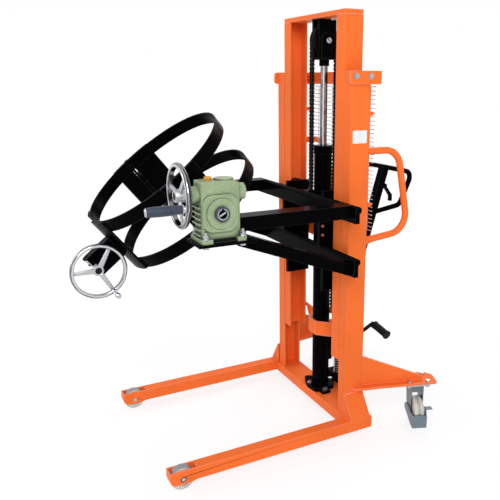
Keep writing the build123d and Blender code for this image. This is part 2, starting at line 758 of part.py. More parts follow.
with BuildPart() as handles:
    bent_tube([(HANDLE_X, y, z) for y, z in HANDLE_PATH], HANDLE_R, HANDLE_BEND)
    prism(Plane.YZ.offset(HANDLE_X - HANDLE_GUSSET_HALF), HANDLE_GUSSET, 2 * HANDLE_GUSSET_HALF)
    slab(HANDLE_X - 2 * HANDLE_R, HANDLE_X + 2 * HANDLE_R, 0, MAST_HALF_DEPTH,
         HANDLE_PATH[-1][1] - 2 * HANDLE_R, HANDLE_PATH[0][1] + 2 * HANDLE_R, Mode.SUBTRACT)
    mirror(about=Plane.YZ)
keep(handles.part, "push_handles")

# Mesh guard behind the mast, one holed sheet with a rim, standing on the rear channel

with BuildPart() as mesh:
    pitch_x = 2 * (MESH_HALF - MESH_WIRE) / MESH_COLUMNS
    pitch_z = (MESH_TOP - MESH_RIM - MESH_LOW - MESH_WIRE) / MESH_ROWS
    middle = (MESH_TOP - MESH_RIM + MESH_LOW + MESH_WIRE) / 2
    with BuildSketch(Plane.XZ.offset(-MESH_Y)) as net:
        with Locations((0, (MESH_LOW + MESH_TOP) / 2)):
            Rectangle(2 * MESH_HALF, MESH_TOP - MESH_LOW)
        with Locations((0, middle)):
            with GridLocations(pitch_x, pitch_z, MESH_COLUMNS, MESH_ROWS):
                Rectangle(pitch_x - MESH_WIRE, pitch_z - MESH_WIRE, mode=Mode.SUBTRACT)
    extrude(net.sketch, amount=-MESH_WIRE)
    for side in SIDES.values():
        slab(side * MESH_FOOT[0], side * MESH_FOOT[1], MESH_Y, MESH_Y + MESH_WIRE,
             REAR_CHANNEL_TOP, MESH_LOW + 1)
keep(mesh.part, "mesh_guard")

# Lifting cylinder

with BuildPart() as barrel:
    with BuildSketch(Plane.XY.offset(BASE_TOP)) as foot:
        with Locations((0, CYL_Y)):
            Circle(FOOT_R)
        with Locations(*FOOT_CORNERS):
            Circle(FOOT_CORNER_R)
        make_hull()
        with Locations(*FOOT_BOLTS):
            Circle(BOLT_R + LOOSE, mode=Mode.SUBTRACT)
    extrude(foot.sketch, amount=BARREL_LOW - BASE_TOP)
    slab(PORT_FROM[0], PORT_TO[0], PORT_FROM[1], PORT_TO[1], BASE_TOP, PORT_TOP)
    rod((0, CYL_Y, BARREL_LOW - 1), (0, CYL_Y, BARREL_TOP), BARREL_R)
    rod((0, CYL_Y, GLAND_LOW), (0, CYL_Y, GLAND_TOP), GLAND_R)
    slab(-TANK_HALF, TANK_HALF, CYL_Y, TANK_REAR, TANK_LOW, TANK_TOP)
    rod((0, CYL_Y, BARREL_FLOOR), (0, CYL_Y, BORE_TOP), BORE_R, Mode.SUBTRACT)
    rod((0, CYL_Y, BORE_TOP - 1), (0, CYL_Y, GLAND_TOP + 1), ROD_R + RUN, Mode.SUBTRACT)
keep(barrel.part, "lift_barrel")

with BuildPart() as ram:
    rod((0, CYL_Y, PISTON_LOW), (0, CYL_Y, PISTON_LOW + PISTON_LENGTH), BORE_R - RUN)
    rod((0, CYL_Y, PISTON_LOW + 1), (0, CYL_Y, ROD_TOP), ROD_R)
keep(ram.part, "piston_rod")

# Inner mast with its top plate, rear tie and slide blocks

for name, side in SIDES.items():
    with BuildPart() as upright:
        channel(side, INNER_TIP, INNER_X, INNER_LOW, INNER_TOP)
        corners = upright.edges().filter_by(Axis.Z).group_by(Axis.X)
        fillet(corners[-1 if side > 0 else 0], radius=CHANNEL_CORNER)
    keep(upright.part, f"inner_mast_{name}")

with BuildPart() as top_plate:
    slab(-INNER_X, INNER_X, -MAST_HALF_DEPTH, MAST_HALF_DEPTH, INNER_TOP, INNER_TOP + TOP_PLATE)
    fillet(top_plate.edges().filter_by(Axis.Z), radius=TOP_PLATE_CORNER)
    chamfer(top_plate.faces().sort_by(Axis.Z)[-1].edges(), length=TOP_PLATE_EDGE)
keep(top_plate.part, "inner_top_plate")

with BuildPart() as rear_tie:
    slab(-TIE_HALF, TIE_HALF, TIE_FRONT, TIE_REAR, TIE_LOW, TIE_TOP)
    for side in SIDES.values():
        slab(side * TIE_FOOT, side * TIE_HALF, MAST_HALF_DEPTH, TIE_FRONT + 1, TIE_LOW, TIE_TOP)
keep(rear_tie.part, "inner_rear_tie")

with BuildPart() as slide_blocks:
    for side in SIDES.values():
        slab(side * INNER_X, side * SLIDE_OUT, -SLIDE_HALF, SLIDE_HALF, SLIDE_LOW, SLIDE_TOP)
keep(slide_blocks.part, "mast_slide_blocks")

# Crosshead over the ram, with the chain wheel's axle and its keeper plates

with BuildPart() as crosshead:
    for side in SIDES.values():
        slab(side * YOKE_IN, side * YOKE_OUT, YOKE_FRONT, YOKE_REAR, YOKE_LOW, INNER_TOP)
        rod((side * (YOKE_OUT - 1), SHEAVE_Y, SHEAVE_Z), (side * KEEPER_OUT, SHEAVE_Y, SHEAVE_Z), KEEPER_R)
        slab(side * (YOKE_OUT - 1), side * KEEPER_OUT, KEEPER_FRONT, KEEPER_REAR, KEEPER_LOW, SHEAVE_Z)
    slab(-YOKE_OUT, YOKE_OUT, YOKE_FLOOR_FRONT, YOKE_REAR, YOKE_LOW, YOKE_FLOOR)
    rod((0, CYL_Y, COLLAR_LOW), (0, CYL_Y, YOKE_LOW + 1), COLLAR_R)
    rod((0, CYL_Y, COLLAR_LOW - 1), (0, CYL_Y, ROD_TOP), ROD_R + LOOSE, Mode.SUBTRACT)
    rod((-SHEAVE_AXLE_END, SHEAVE_Y, SHEAVE_Z), (SHEAVE_AXLE_END, SHEAVE_Y, SHEAVE_Z), SHEAVE_AXLE_R)
keep(crosshead.part, "crosshead")

with BuildPart() as sheave:
    groove = SHEAVE_PITCH_R - CHAIN_THICK / 2 - CHAIN_SEAT
    rise = groove + SHEAVE_GROOVE_DEPTH
    wide = CHAIN_HALF_WIDTH + SHEAVE_SIDE
    seat = wide - SHEAVE_GROOVE_SIDE
    lip = wide - SHEAVE_LIP
    with BuildSketch(Plane.XY) as half:
        with BuildLine():
            Polyline((SHEAVE_AXLE_R + RUN, -wide), (SHEAVE_FLANGE_R, -wide), (SHEAVE_FLANGE_R, -lip),
                     (rise, -seat), (groove, -seat), (groove, seat), (rise, seat), (SHEAVE_FLANGE_R, lip),
                     (SHEAVE_FLANGE_R, wide), (SHEAVE_AXLE_R + RUN, wide), close=True)
        make_face()
    revolve(half.sketch, axis=Axis.Y)
sheave_place = Plane(origin=(0, SHEAVE_Y, SHEAVE_Z), x_dir=(0, 0, 1), z_dir=(0, 1, 0))
sheave_wheel = sheave.part.moved(sheave_place.location)
keep(sheave_wheel, "sheave")

# Lifting chain: over the wheel, down to the carriage and down to the fixed lug

with BuildPart() as chain_wrap:
    arc_band(Plane(origin=(-CHAIN_HALF_WIDTH, SHEAVE_Y, SHEAVE_Z), x_dir=(0, 1, 0), z_dir=(1, 0, 0)),
             SHEAVE_PITCH_R - CHAIN_THICK / 2, SHEAVE_PITCH_R + CHAIN_THICK / 2, 0, 180,
             depth=2 * CHAIN_HALF_WIDTH)
keep(chain_wrap.part, "chain_wrap")

for name, direction, low in (("front", -1, CHAIN_FRONT_LOW), ("rear", 1, CHAIN_REAR_LOW)):
    middle = SHEAVE_Y + direction * SHEAVE_PITCH_R
    with BuildPart() as strand:
        slab(-CHAIN_HALF_WIDTH, CHAIN_HALF_WIDTH, middle - CHAIN_THICK / 2, middle + CHAIN_THICK / 2,
             low, SHEAVE_Z)
    keep(strand.part, f"chain_{name}")

# Carriage: two cross beams with rounded noses, side cheeks and roller stubs

with BuildPart() as carriage:
    for low, nose_z in ((UPPER_BEAM_LOW, UPPER_NOSE_Z), (LOWER_BEAM_LOW, LOWER_NOSE_Z)):
        slab(-BEAM_HALF, BEAM_HALF, BEAM_FRONT, BEAM_REAR, low, nose_z)
        rod((-BEAM_HALF, NOSE_Y, nose_z), (BEAM_HALF, NOSE_Y, nose_z), NOSE_R)
    for side in SIDES.values():
        slab(side * CHEEK_IN, side * CHEEK_OUT, BEAM_REAR - 1, CHEEK_REAR, CHEEK_LOW, CHEEK_TOP)
        slab(side * CHEEK_IN, side * CHEEK_OUT, BEAM_FRONT, BEAM_REAR, LOWER_BEAM_LOW, UPPER_NOSE_Z)
        for z in TRACK_ROLLER_Z.values():
            rod((side * (CHEEK_OUT - 1), 0, z), (side * STUB_END, 0, z), STUB_R)
            rod((side * (CHEEK_OUT - 1), 0, z), (side * STUB_SHOULDER, 0, z), STUB_SHOULDER_R)
    slab(-CHAIN_LUG_HALF, CHAIN_LUG_HALF, BEAM_REAR - 1, CHAIN_LUG_REAR,
         CHAIN_FRONT_LOW - CHAIN_LUG_HEIGHT, CHAIN_FRONT_LOW)
keep(carriage.part, "carriage_frame")

for name, side in SIDES.items():
    for level, z in TRACK_ROLLER_Z.items():
        with BuildPart() as track_roller:
            rod((side * TRACK_ROLLER_IN, 0, z), (side * TRACK_ROLLER_OUT, 0, z), TRACK_ROLLER_R)
            chamfer(track_roller.edges().filter_by(GeomType.CIRCLE), length=TRACK_ROLLER_EDGE)
            rod((side * (TRACK_ROLLER_IN - 1), 0, z), (side * (TRACK_ROLLER_OUT + 1), 0, z),
                STUB_R + RUN, Mode.SUBTRACT)
        keep(track_roller.part, f"carriage_roller_{level}_{name}")

# Arms and struts that reach forward to the tilt axis


def strut(side, end):
    """A sloping box tube from the lower beam up to the arm."""
    rise = STRUT_RISE * (BEAM_FRONT - end)
    points = [(BEAM_FRONT, LOWER_BEAM_LOW), (end, LOWER_BEAM_LOW + rise),
              (end, LOWER_BEAM_LOW + rise + STRUT_DEPTH), (BEAM_FRONT, LOWER_BEAM_LOW + STRUT_DEPTH)]
    prism(Plane.YZ.offset(min(side * STRUT_IN, side * STRUT_OUT)), points, STRUT_OUT - STRUT_IN)


def arm(side, end):
    """A straight box tube from the upper beam, closed at its far end."""
    slab(side * ARM_IN, side * ARM_OUT, BEAM_FRONT, end, ARM_LOW, ARM_TOP)
    slab(side * (ARM_IN + ARM_WALL), side * (ARM_OUT - ARM_WALL), BEAM_FRONT + 1, end + ARM_WALL,
         ARM_LOW + ARM_WALL, ARM_TOP - ARM_WALL, Mode.SUBTRACT)


with BuildPart() as near_arm:
    arm(1, NEAR_ARM_END)
    strut(1, NEAR_STRUT_END)
    slab(SHELF_FROM[0], SHELF_TO[0], SHELF_FROM[1], SHELF_TO[1], BOX_FLOOR - BOX_PLATE, BOX_FLOOR)
    slab(ARM_CAP_IN, ARM_OUT, ARM_CAP_END, NEAR_ARM_END, BOX_FLOOR - 1, ARM_TOP)
    slab(ARM_CAP_IN, ARM_OUT, ARM_CAP_END, SHELF_TO[1], BOX_FLOOR - 1, ARM_LOW + 1)
    for x, y in GEARBOX_BOLTS:
        rod((x, y, BOX_FLOOR - 2 * BOX_PLATE), (x, y, BOX_FLOOR + 1), BOLT_R + LOOSE, Mode.SUBTRACT)
keep(near_arm.part, "arm_near")

with BuildPart() as far_arm:
    arm(-1, FAR_ARM_END)
    strut(-1, FAR_STRUT_END)
    lap = FAR_ARM_END + ARM_WALL - 1
    ear = [(lap, ARM_LOW), (lap, ARM_TOP), (PIVOT_Y + EAR_HALF, PIVOT_Z + EAR_RISE),
           (PIVOT_Y - EAR_HALF, PIVOT_Z + EAR_RISE), (PIVOT_Y - EAR_NOSE, PIVOT_Z),
           (PIVOT_Y - EAR_HALF, PIVOT_Z - EAR_RISE)]
    prism(Plane.YZ.offset(EAR_X), ear, EAR_SHEET)
    rod((EAR_X - 1, PIVOT_Y, PIVOT_Z), (EAR_X + EAR_SHEET + 1, PIVOT_Y, PIVOT_Z), EAR_BORE_R, Mode.SUBTRACT)
keep(far_arm.part, "arm_far")

with BuildPart() as bearing:
    rod((BEARING_OUT, PIVOT_Y, PIVOT_Z), (EAR_X, PIVOT_Y, PIVOT_Z), BEARING_R)
    with BuildSketch(Plane.YZ.offset(EAR_X - BEARING_SHEET)) as flange:
        with Locations((PIVOT_Y, PIVOT_Z)):
            RectangleRounded(BEARING_FLANGE, BEARING_FLANGE, BEARING_CORNER)
    extrude(flange.sketch, amount=BEARING_SHEET)
    rod((BEARING_OUT - 1, PIVOT_Y, PIVOT_Z), (EAR_X + 1, PIVOT_Y, PIVOT_Z),
        FAR_TRUNNION_R + RUN, Mode.SUBTRACT)
keep(bearing.part, "pivot_bearing")

# Worm gearbox

with BuildPart() as housing:
    slab(PAD_IN, PAD_OUT, PAD_FRONT, PAD_REAR, BOX_FLOOR, PAD_TOP)
    fillet(housing.edges().filter_by(Axis.Z), radius=PAD_CORNER)
    with BuildSketch(Plane.XY.offset(PAD_TOP - 1)) as body:
        with Locations(((BOX_IN + BOX_OUT) / 2, (BOX_FRONT + BOX_REAR) / 2)):
            RectangleRounded(BOX_OUT - BOX_IN, BOX_REAR - BOX_FRONT, BOX_CORNER)
    extrude(body.sketch, amount=BOX_TOP - PAD_TOP + 1)
    fillet(housing.faces().sort_by(Axis.Z)[-1].edges(), radius=BOX_EDGE)
    bevel = [(BOX_REAR - BOX_BEVEL[0], BOX_TOP), (BOX_REAR, BOX_TOP + 1),
             (BOX_REAR + 1, BOX_TOP - BOX_BEVEL[1])]
    prism(Plane.YZ.offset(BOX_IN - 1), bevel, BOX_OUT - BOX_IN + 2, Mode.SUBTRACT)
    slab(PAD_NOTCH_IN, PAD_OUT + 1, PAD_NOTCH[0], PAD_NOTCH[1], BOX_FLOOR - 1, PAD_TOP + 1, Mode.SUBTRACT)
    rod((BOX_X, TOP_DISC_Y, BOX_TOP - 1), (BOX_X, TOP_DISC_Y, BOX_TOP + TOP_DISC_RISE), TOP_DISC_R)
    rod((BOX_X, BOX_FRONT + 1, WORM_Z), (BOX_X, BOSS_FRONT, WORM_Z), BOSS_R)
    rod((BOX_X, BOX_REAR - 1, WORM_Z), (BOX_X, BOSS_REAR, WORM_Z), BOSS_R)
    for level in range(FIN_COUNT):
        z = FIN_LOW + FIN_PITCH * level
        slab(FIN_IN, FIN_OUT, BOX_FRONT - FIN_DEPTH, BOX_FRONT + 1, z, z + FIN_THICK)
    slab(BOX_IN + BOX_WALL, BOX_OUT - BOX_WALL, BOX_FRONT + BOX_WALL, BOX_REAR - BOX_WALL,
         BOX_CAVITY_LOW, BOX_TOP - BOX_WALL, Mode.SUBTRACT)
    rod((BOX_OUT - BOX_WALL - 1, PIVOT_Y, PIVOT_Z), (BOX_OUT + 1, PIVOT_Y, PIVOT_Z), SPIGOT_R, Mode.SUBTRACT)
    rod((BOX_IN - 1, PIVOT_Y, PIVOT_Z), (BOX_IN + BOX_WALL + 1, PIVOT_Y, PIVOT_Z),
        HOLLOW_R + RUN, Mode.SUBTRACT)
    rod((BOX_X, BOSS_FRONT - 1, WORM_Z), (BOX_X, BOX_REAR + 2, WORM_Z), WORM_SHAFT_R + RUN, Mode.SUBTRACT)
    for x, y in GEARBOX_BOLTS:
        rod((x, y, BOX_FLOOR - 1), (x, y, PAD_TOP + 1), BOLT_R + LOOSE, Mode.SUBTRACT)
keep(housing.part, "gearbox_housing")

with BuildPart() as cover:
    with BuildSketch(Plane.YZ.offset(BOX_OUT)) as face:
        with Locations((PIVOT_Y, PIVOT_Z)):
            RectangleRounded(COVER_SIDE, COVER_SIDE, COVER_CORNER)
    extrude(face.sketch, amount=COVER_SHEET)
    fillet(cover.faces().sort_by(Axis.X)[-1].edges(), radius=COVER_EDGE)
    rod((BOX_OUT + COVER_SHEET - 1, PIVOT_Y, PIVOT_Z), (BOX_OUT + COVER_RING_RISE, PIVOT_Y, PIVOT_Z),
        COVER_RING_R)
    rod((BOX_OUT - SPIGOT_DEPTH, PIVOT_Y, PIVOT_Z), (BOX_OUT + 1, PIVOT_Y, PIVOT_Z), SPIGOT_R - LOOSE)
    rod((BOX_OUT - SPIGOT_DEPTH - 1, PIVOT_Y, PIVOT_Z), (BOX_OUT - 0.5, PIVOT_Y, PIVOT_Z),
        SPIGOT_BORE_R, Mode.SUBTRACT)
    rod((BOX_OUT - SPIGOT_DEPTH - 1, PIVOT_Y, PIVOT_Z), (BOX_OUT + COVER_RING_RISE + 1, PIVOT_Y, PIVOT_Z),
        HOLLOW_R + RUN, Mode.SUBTRACT)
keep(cover.part, "gearbox_cover")

with BuildPart() as breather:
    neck = BOX_TOP + BREATHER_NECK
    hexagon((BREATHER_X, BREATHER_Y, BOX_TOP), (BREATHER_X, BREATHER_Y, neck), BREATHER_HEX)
    rod((BREATHER_X, BREATHER_Y, neck - 1), (BREATHER_X, BREATHER_Y, BOX_TOP + BREATHER_RISE), BREATHER_R)
    fillet(breather.edges().group_by(Axis.Z)[-1], radius=BREATHER_NECK / 2)
keep(breather.part, "gearbox_breather")

with BuildPart() as worm_gear:
    rod((HOLLOW_IN, PIVOT_Y, PIVOT_Z), (HOLLOW_OUT, PIVOT_Y, PIVOT_Z), HOLLOW_R)
    gear_face = Plane(origin=(BOX_X - GEAR_WIDTH / 2, PIVOT_Y, PIVOT_Z), x_dir=(0, 1, 0), z_dir=(1, 0, 0))
    with BuildSketch(gear_face) as toothed:
        Circle(GEAR_R)
        with PolarLocations(GEAR_R, GEAR_TEETH, start_angle=90):
            Rectangle(TOOTH_DEPTH, TOOTH_GAP, mode=Mode.SUBTRACT)
    extrude(toothed.sketch, amount=GEAR_WIDTH)
    rod((HOLLOW_IN - 1, PIVOT_Y, PIVOT_Z), (HOLLOW_OUT + 1, PIVOT_Y, PIVOT_Z), TRUNNION_R + RUN, Mode.SUBTRACT)
    slab(HOLLOW_IN - 1, HOLLOW_OUT + 1, PIVOT_Y - KEY_HALF, PIVOT_Y + KEY_HALF,
         PIVOT_Z, PIVOT_Z + TRUNNION_R + KEY_HALF, Mode.SUBTRACT)
    end_circles = worm_gear.faces().sort_by(Axis.X)[-1].edges().filter_by(GeomType.CIRCLE)
    chamfer(end_circles.sort_by(SortBy.RADIUS)[-1:], length=HOLLOW_CHAMFER)
keep(worm_gear.part, "worm_gear")

with BuildPart() as worm:
    rod((BOX_X, TILT_WHEEL_Y - TILT_HUB[2], WORM_Z), (BOX_X, BOX_REAR + 1, WORM_Z), WORM_SHAFT_R)
    for turn in range(WORM_TURNS):
        y = PIVOT_Y + WORM_PITCH * (turn - (WORM_TURNS - 1) / 2)
        rod((BOX_X, y - WORM_LAND / 2, WORM_Z), (BOX_X, y + WORM_LAND / 2, WORM_Z), WORM_R)
keep(worm.part, "worm_shaft")

# Tilting hand-wheel and its turning grip

TILT_PLANE = Plane(origin=(BOX_X, TILT_WHEEL_Y, WORM_Z), x_dir=(1, 0, 0), z_dir=(0, -1, 0))
tilt_ring = TILT_WHEEL_R - RIM_R
grip_x = BOX_X + tilt_ring * cos(radians(TILT_GRIP_ANGLE))
grip_z = WORM_Z + tilt_ring * sin(radians(TILT_GRIP_ANGLE))
grip_y = TILT_WHEEL_Y - TILT_STUB

with BuildPart() as tilt_wheel:
    hand_wheel(TILT_PLANE, TILT_WHEEL_R, RIM_R, TILT_HUB, TILT_GRIP_ANGLE + 60)
    rod((BOX_X, TILT_WHEEL_Y - TILT_HUB[1] + 1, WORM_Z), (BOX_X, TILT_WHEEL_Y - TILT_HUB[2] - 1, WORM_Z),
        WORM_SHAFT_R + RUN, Mode.SUBTRACT)
    rod((grip_x, TILT_WHEEL_Y, grip_z), (grip_x, grip_y, grip_z), TILT_STUB_R)
    rod((grip_x, TILT_WHEEL_Y, grip_z), (grip_x, grip_y - TILT_GRIP_LENGTH, grip_z), TILT_PIN_R)
keep(tilt_wheel.part, "tilt_wheel")

with BuildPart() as tilt_grip:
    root, swell, tip = TILT_GRIP_R
    bore = TILT_PIN_R + RUN
    with BuildSketch(Plane.XY) as half:
        with BuildLine():
            Line((bore, 0), (root, 0))
            Spline((root, 0), (swell, TILT_GRIP_SWELL), (tip, TILT_GRIP_LENGTH))
            Polyline((tip, TILT_GRIP_LENGTH), (bore, TILT_GRIP_LENGTH), (bore, 0))
        make_face()
    revolve(half.sketch, axis=Axis.Y)
grip_place = Plane(origin=(grip_x, grip_y - 0.5, grip_z), x_dir=(1, 0, 0), z_dir=(0, 0, -1))
keep(tilt_grip.part.moved(grip_place.location), "tilt_grip")

# Drum clamp

AXIS = (0, -sin(radians(TILT_DEG)), cos(radians(TILT_DEG)))
CLAMP = Plane(origin=(0, PIVOT_Y, PIVOT_Z), x_dir=(1, 0, 0), z_dir=AXIS)


def at(x, y, z):
    """A point of the clamp, given about the drum's axis."""
    return CLAMP.from_local_coords(Vector(x, y, z))


def on_screw(x, rise=0.0):
    """A point of the clamp at the height of the screw."""
    return at(x, -SCREW_RADIAL, SCREW_AXIAL + rise)


def clamp_slab(x0, x1, y0, y1, z0, z1, mode=Mode.ADD):
    """A box between two corners, given about the drum's axis."""
    prism(CLAMP.offset(z0), [(x0, y0), (x1, y0), (x1, y1), (x0, y1)], z1 - z0, mode)


def round_at(angle, circle, radius, low, top, mode=Mode.ADD):
    """A round bar along the drum's axis, at an angle round it."""
    x = circle * cos(radians(angle))
    y = circle * sin(radians(angle))
    rod(at(x, y, low), at(x, y, top), radius, mode)


with BuildPart() as clamp_frame:
    for low, top in HOOP_BANDS:
        arc_band(CLAMP.offset(low), HOOP_IN, HOOP_OUT, FRAME_FROM, FRAME_TO, depth=top - low)
    for start, end in FRAME_PLATES:
        arc_band(CLAMP.offset(CLAMP_LOW), HOOP_OUT - 1, PLATE_OUT, start, end, depth=CLAMP_TOP - CLAMP_LOW)
    for low, top in GATE_KNUCKLES:
        round_at(HINGE_ANGLE, HINGE_CIRCLE, HINGE_R + 1, low - 0.5, top + 0.5, Mode.SUBTRACT)
    for low, top in FRAME_KNUCKLES:
        round_at(HINGE_ANGLE, HINGE_CIRCLE, HINGE_R, low, top)
    round_at(HINGE_ANGLE, HINGE_CIRCLE, HINGE_PIN_R, CLAMP_LOW, CLAMP_TOP)
    hoop_edge = -(HOOP_OUT + PLATE_OUT) / 2
    fork_low, fork_top = SCREW_AXIAL + FORK_LOW, SCREW_AXIAL + FORK_TOP
    clamp_slab(FORK_IN, FORK_OUT, -SCREW_RADIAL - SCREW_R / 2, hoop_edge, fork_low, fork_top)
    clamp_slab(FORK_IN - 1, FORK_OUT + 1, -SCREW_RADIAL - SCREW_R, -SCREW_RADIAL + FORK_SLOT,
               SCREW_AXIAL - FORK_SLOT, SCREW_AXIAL + FORK_SLOT, Mode.SUBTRACT)
    clamp_slab(FORK_WEB_IN, FORK_IN + 1, -FORK_WEB_OUT, hoop_edge, fork_top - FORK_WEB, fork_top)
    clamp_slab(FORK_WEB_IN, FORK_IN + 1, -FORK_WEB_OUT, hoop_edge, fork_low, fork_low + FORK_WEB)
    rod((-hoop_edge, PIVOT_Y, PIVOT_Z), (BOSS_END, PIVOT_Y, PIVOT_Z), NEAR_BOSS_R)
    rod((-hoop_edge, PIVOT_Y, PIVOT_Z), (TRUNNION_END, PIVOT_Y, PIVOT_Z), TRUNNION_R)
    rod((hoop_edge, PIVOT_Y, PIVOT_Z), (-BOSS_END, PIVOT_Y, PIVOT_Z), FAR_BOSS_R)
    rod((hoop_edge, PIVOT_Y, PIVOT_Z), (FAR_TRUNNION_END, PIVOT_Y, PIVOT_Z), FAR_TRUNNION_R)
keep(clamp_frame.part, "clamp_frame")

with BuildPart() as gate:
    for low, top in HOOP_BANDS:
        arc_band(CLAMP.offset(low), HOOP_IN, HOOP_OUT, GATE_FROM, GATE_TO, depth=top - low)
    for start, end in GATE_PLATES:
        arc_band(CLAMP.offset(CLAMP_LOW), HOOP_OUT - 1, PLATE_OUT, start, end, depth=CLAMP_TOP - CLAMP_LOW)
    for low, top in FRAME_KNUCKLES:
        round_at(HINGE_ANGLE, HINGE_CIRCLE, HINGE_R + 1, low - 0.5, top + 0.5, Mode.SUBTRACT)
    for low, top in GATE_KNUCKLES:
        round_at(HINGE_ANGLE, HINGE_CIRCLE, HINGE_R, low, top)
    round_at(HINGE_ANGLE, HINGE_CIRCLE, HINGE_PIN_R + RUN, CLAMP_LOW - 1, CLAMP_TOP + 1, Mode.SUBTRACT)
    for rise in GATE_LUG_LOW:
        low = SCREW_AXIAL + rise
        clamp_slab(SCREW_PIN_X - GATE_LUG, SCREW_PIN_X + GATE_LUG, -SCREW_RADIAL, -GATE_LUG_ROOT,
                   low, low + GATE_LUG_SHEET)
        rod(on_screw(SCREW_PIN_X, rise), on_screw(SCREW_PIN_X, rise + GATE_LUG_SHEET), GATE_LUG)
    rod(on_screw(SCREW_PIN_X, -SCREW_PIN_HALF), on_screw(SCREW_PIN_X, SCREW_PIN_HALF), SCREW_PIN_R)
    round_at(0, 0, HOOP_IN, CLAMP_LOW - 1, CLAMP_TOP + 1, Mode.SUBTRACT)
keep(gate.part, "clamp_gate")

with BuildPart() as screw:
    rod(on_screw(SCREW_PIN_X, -SCREW_EYE_HALF), on_screw(SCREW_PIN_X, SCREW_EYE_HALF), SCREW_EYE_R)
    rod(on_screw(SCREW_PIN_X + SCREW_PIN_R), on_screw(SCREW_END), SCREW_R)
    rod(on_screw(SCREW_PIN_X, -SCREW_EYE_HALF - 1), on_screw(SCREW_PIN_X, SCREW_EYE_HALF + 1),
        SCREW_PIN_R + RUN, Mode.SUBTRACT)
keep(screw.part, "clamp_screw")

CLAMP_WHEEL = Plane(origin=on_screw(CLAMP_WHEEL_X), x_dir=(0, 1, 0), z_dir=(1, 0, 0))
clamp_ring = CLAMP_WHEEL_R - CLAMP_RIM_R
knob = CLAMP_WHEEL.from_local_coords(Vector(clamp_ring * cos(radians(CLAMP_GRIP_ANGLE)),
                                            clamp_ring * sin(radians(CLAMP_GRIP_ANGLE)), 0))
knob_root = knob + Vector(CLAMP_GRIP_STUB, 0, 0)

with BuildPart() as clamp_wheel:
    hand_wheel(CLAMP_WHEEL, CLAMP_WHEEL_R, CLAMP_RIM_R, CLAMP_HUB, CLAMP_GRIP_ANGLE, CLAMP_DISH)
    rod(on_screw(CLAMP_COLLAR[0]), on_screw(CLAMP_COLLAR[1]), CLAMP_COLLAR_R)
    rod(knob, knob_root + Vector(CLAMP_RIM_R, 0, 0), CLAMP_STUB_R)
    with Locations(Plane(origin=knob_root, z_dir=(1, 0, 0))):
        Cone(*CLAMP_GRIP_R, CLAMP_GRIP_LENGTH, align=(Align.CENTER, Align.CENTER, Align.MIN))
    rod(on_screw(FORK_OUT), on_screw(CLAMP_WHEEL_X), SCREW_R + RUN, Mode.SUBTRACT)
keep(clamp_wheel.part, "clamp_wheel")

# Front rollers

for name, side in SIDES.items():
    middle = side * (LEG_IN + LEG_TUBE / 2)
    half = ROLLER_WIDTH / 2
    with BuildPart() as front_roller:
        rod((middle - half, ROLLER_Y, ROLLER_R), (middle + half, ROLLER_Y, ROLLER_R), ROLLER_R)
        fillet(front_roller.edges().filter_by(GeomType.CIRCLE), radius=ROLLER_EDGE_R)
        for end in (-1, 1):
            rod((middle + end * (half - ROLLER_DISH), ROLLER_Y, ROLLER_R),
                (middle + end * (half + 1), ROLLER_Y, ROLLER_R), ROLLER_DISH_R, Mode.SUBTRACT)
            rod((middle, ROLLER_Y, ROLLER_R), (middle + end * half, ROLLER_Y, ROLLER_R), ROLLER_HUB_R)
        rod((middle - half - 1, ROLLER_Y, ROLLER_R), (middle + half + 1, ROLLER_Y, ROLLER_R),
            AXLE_R + RUN, Mode.SUBTRACT)
    keep(front_roller.part, f"front_roller_{name}")

# Casters: fork, wheel, foot guard and brake tab, each about its own swivel

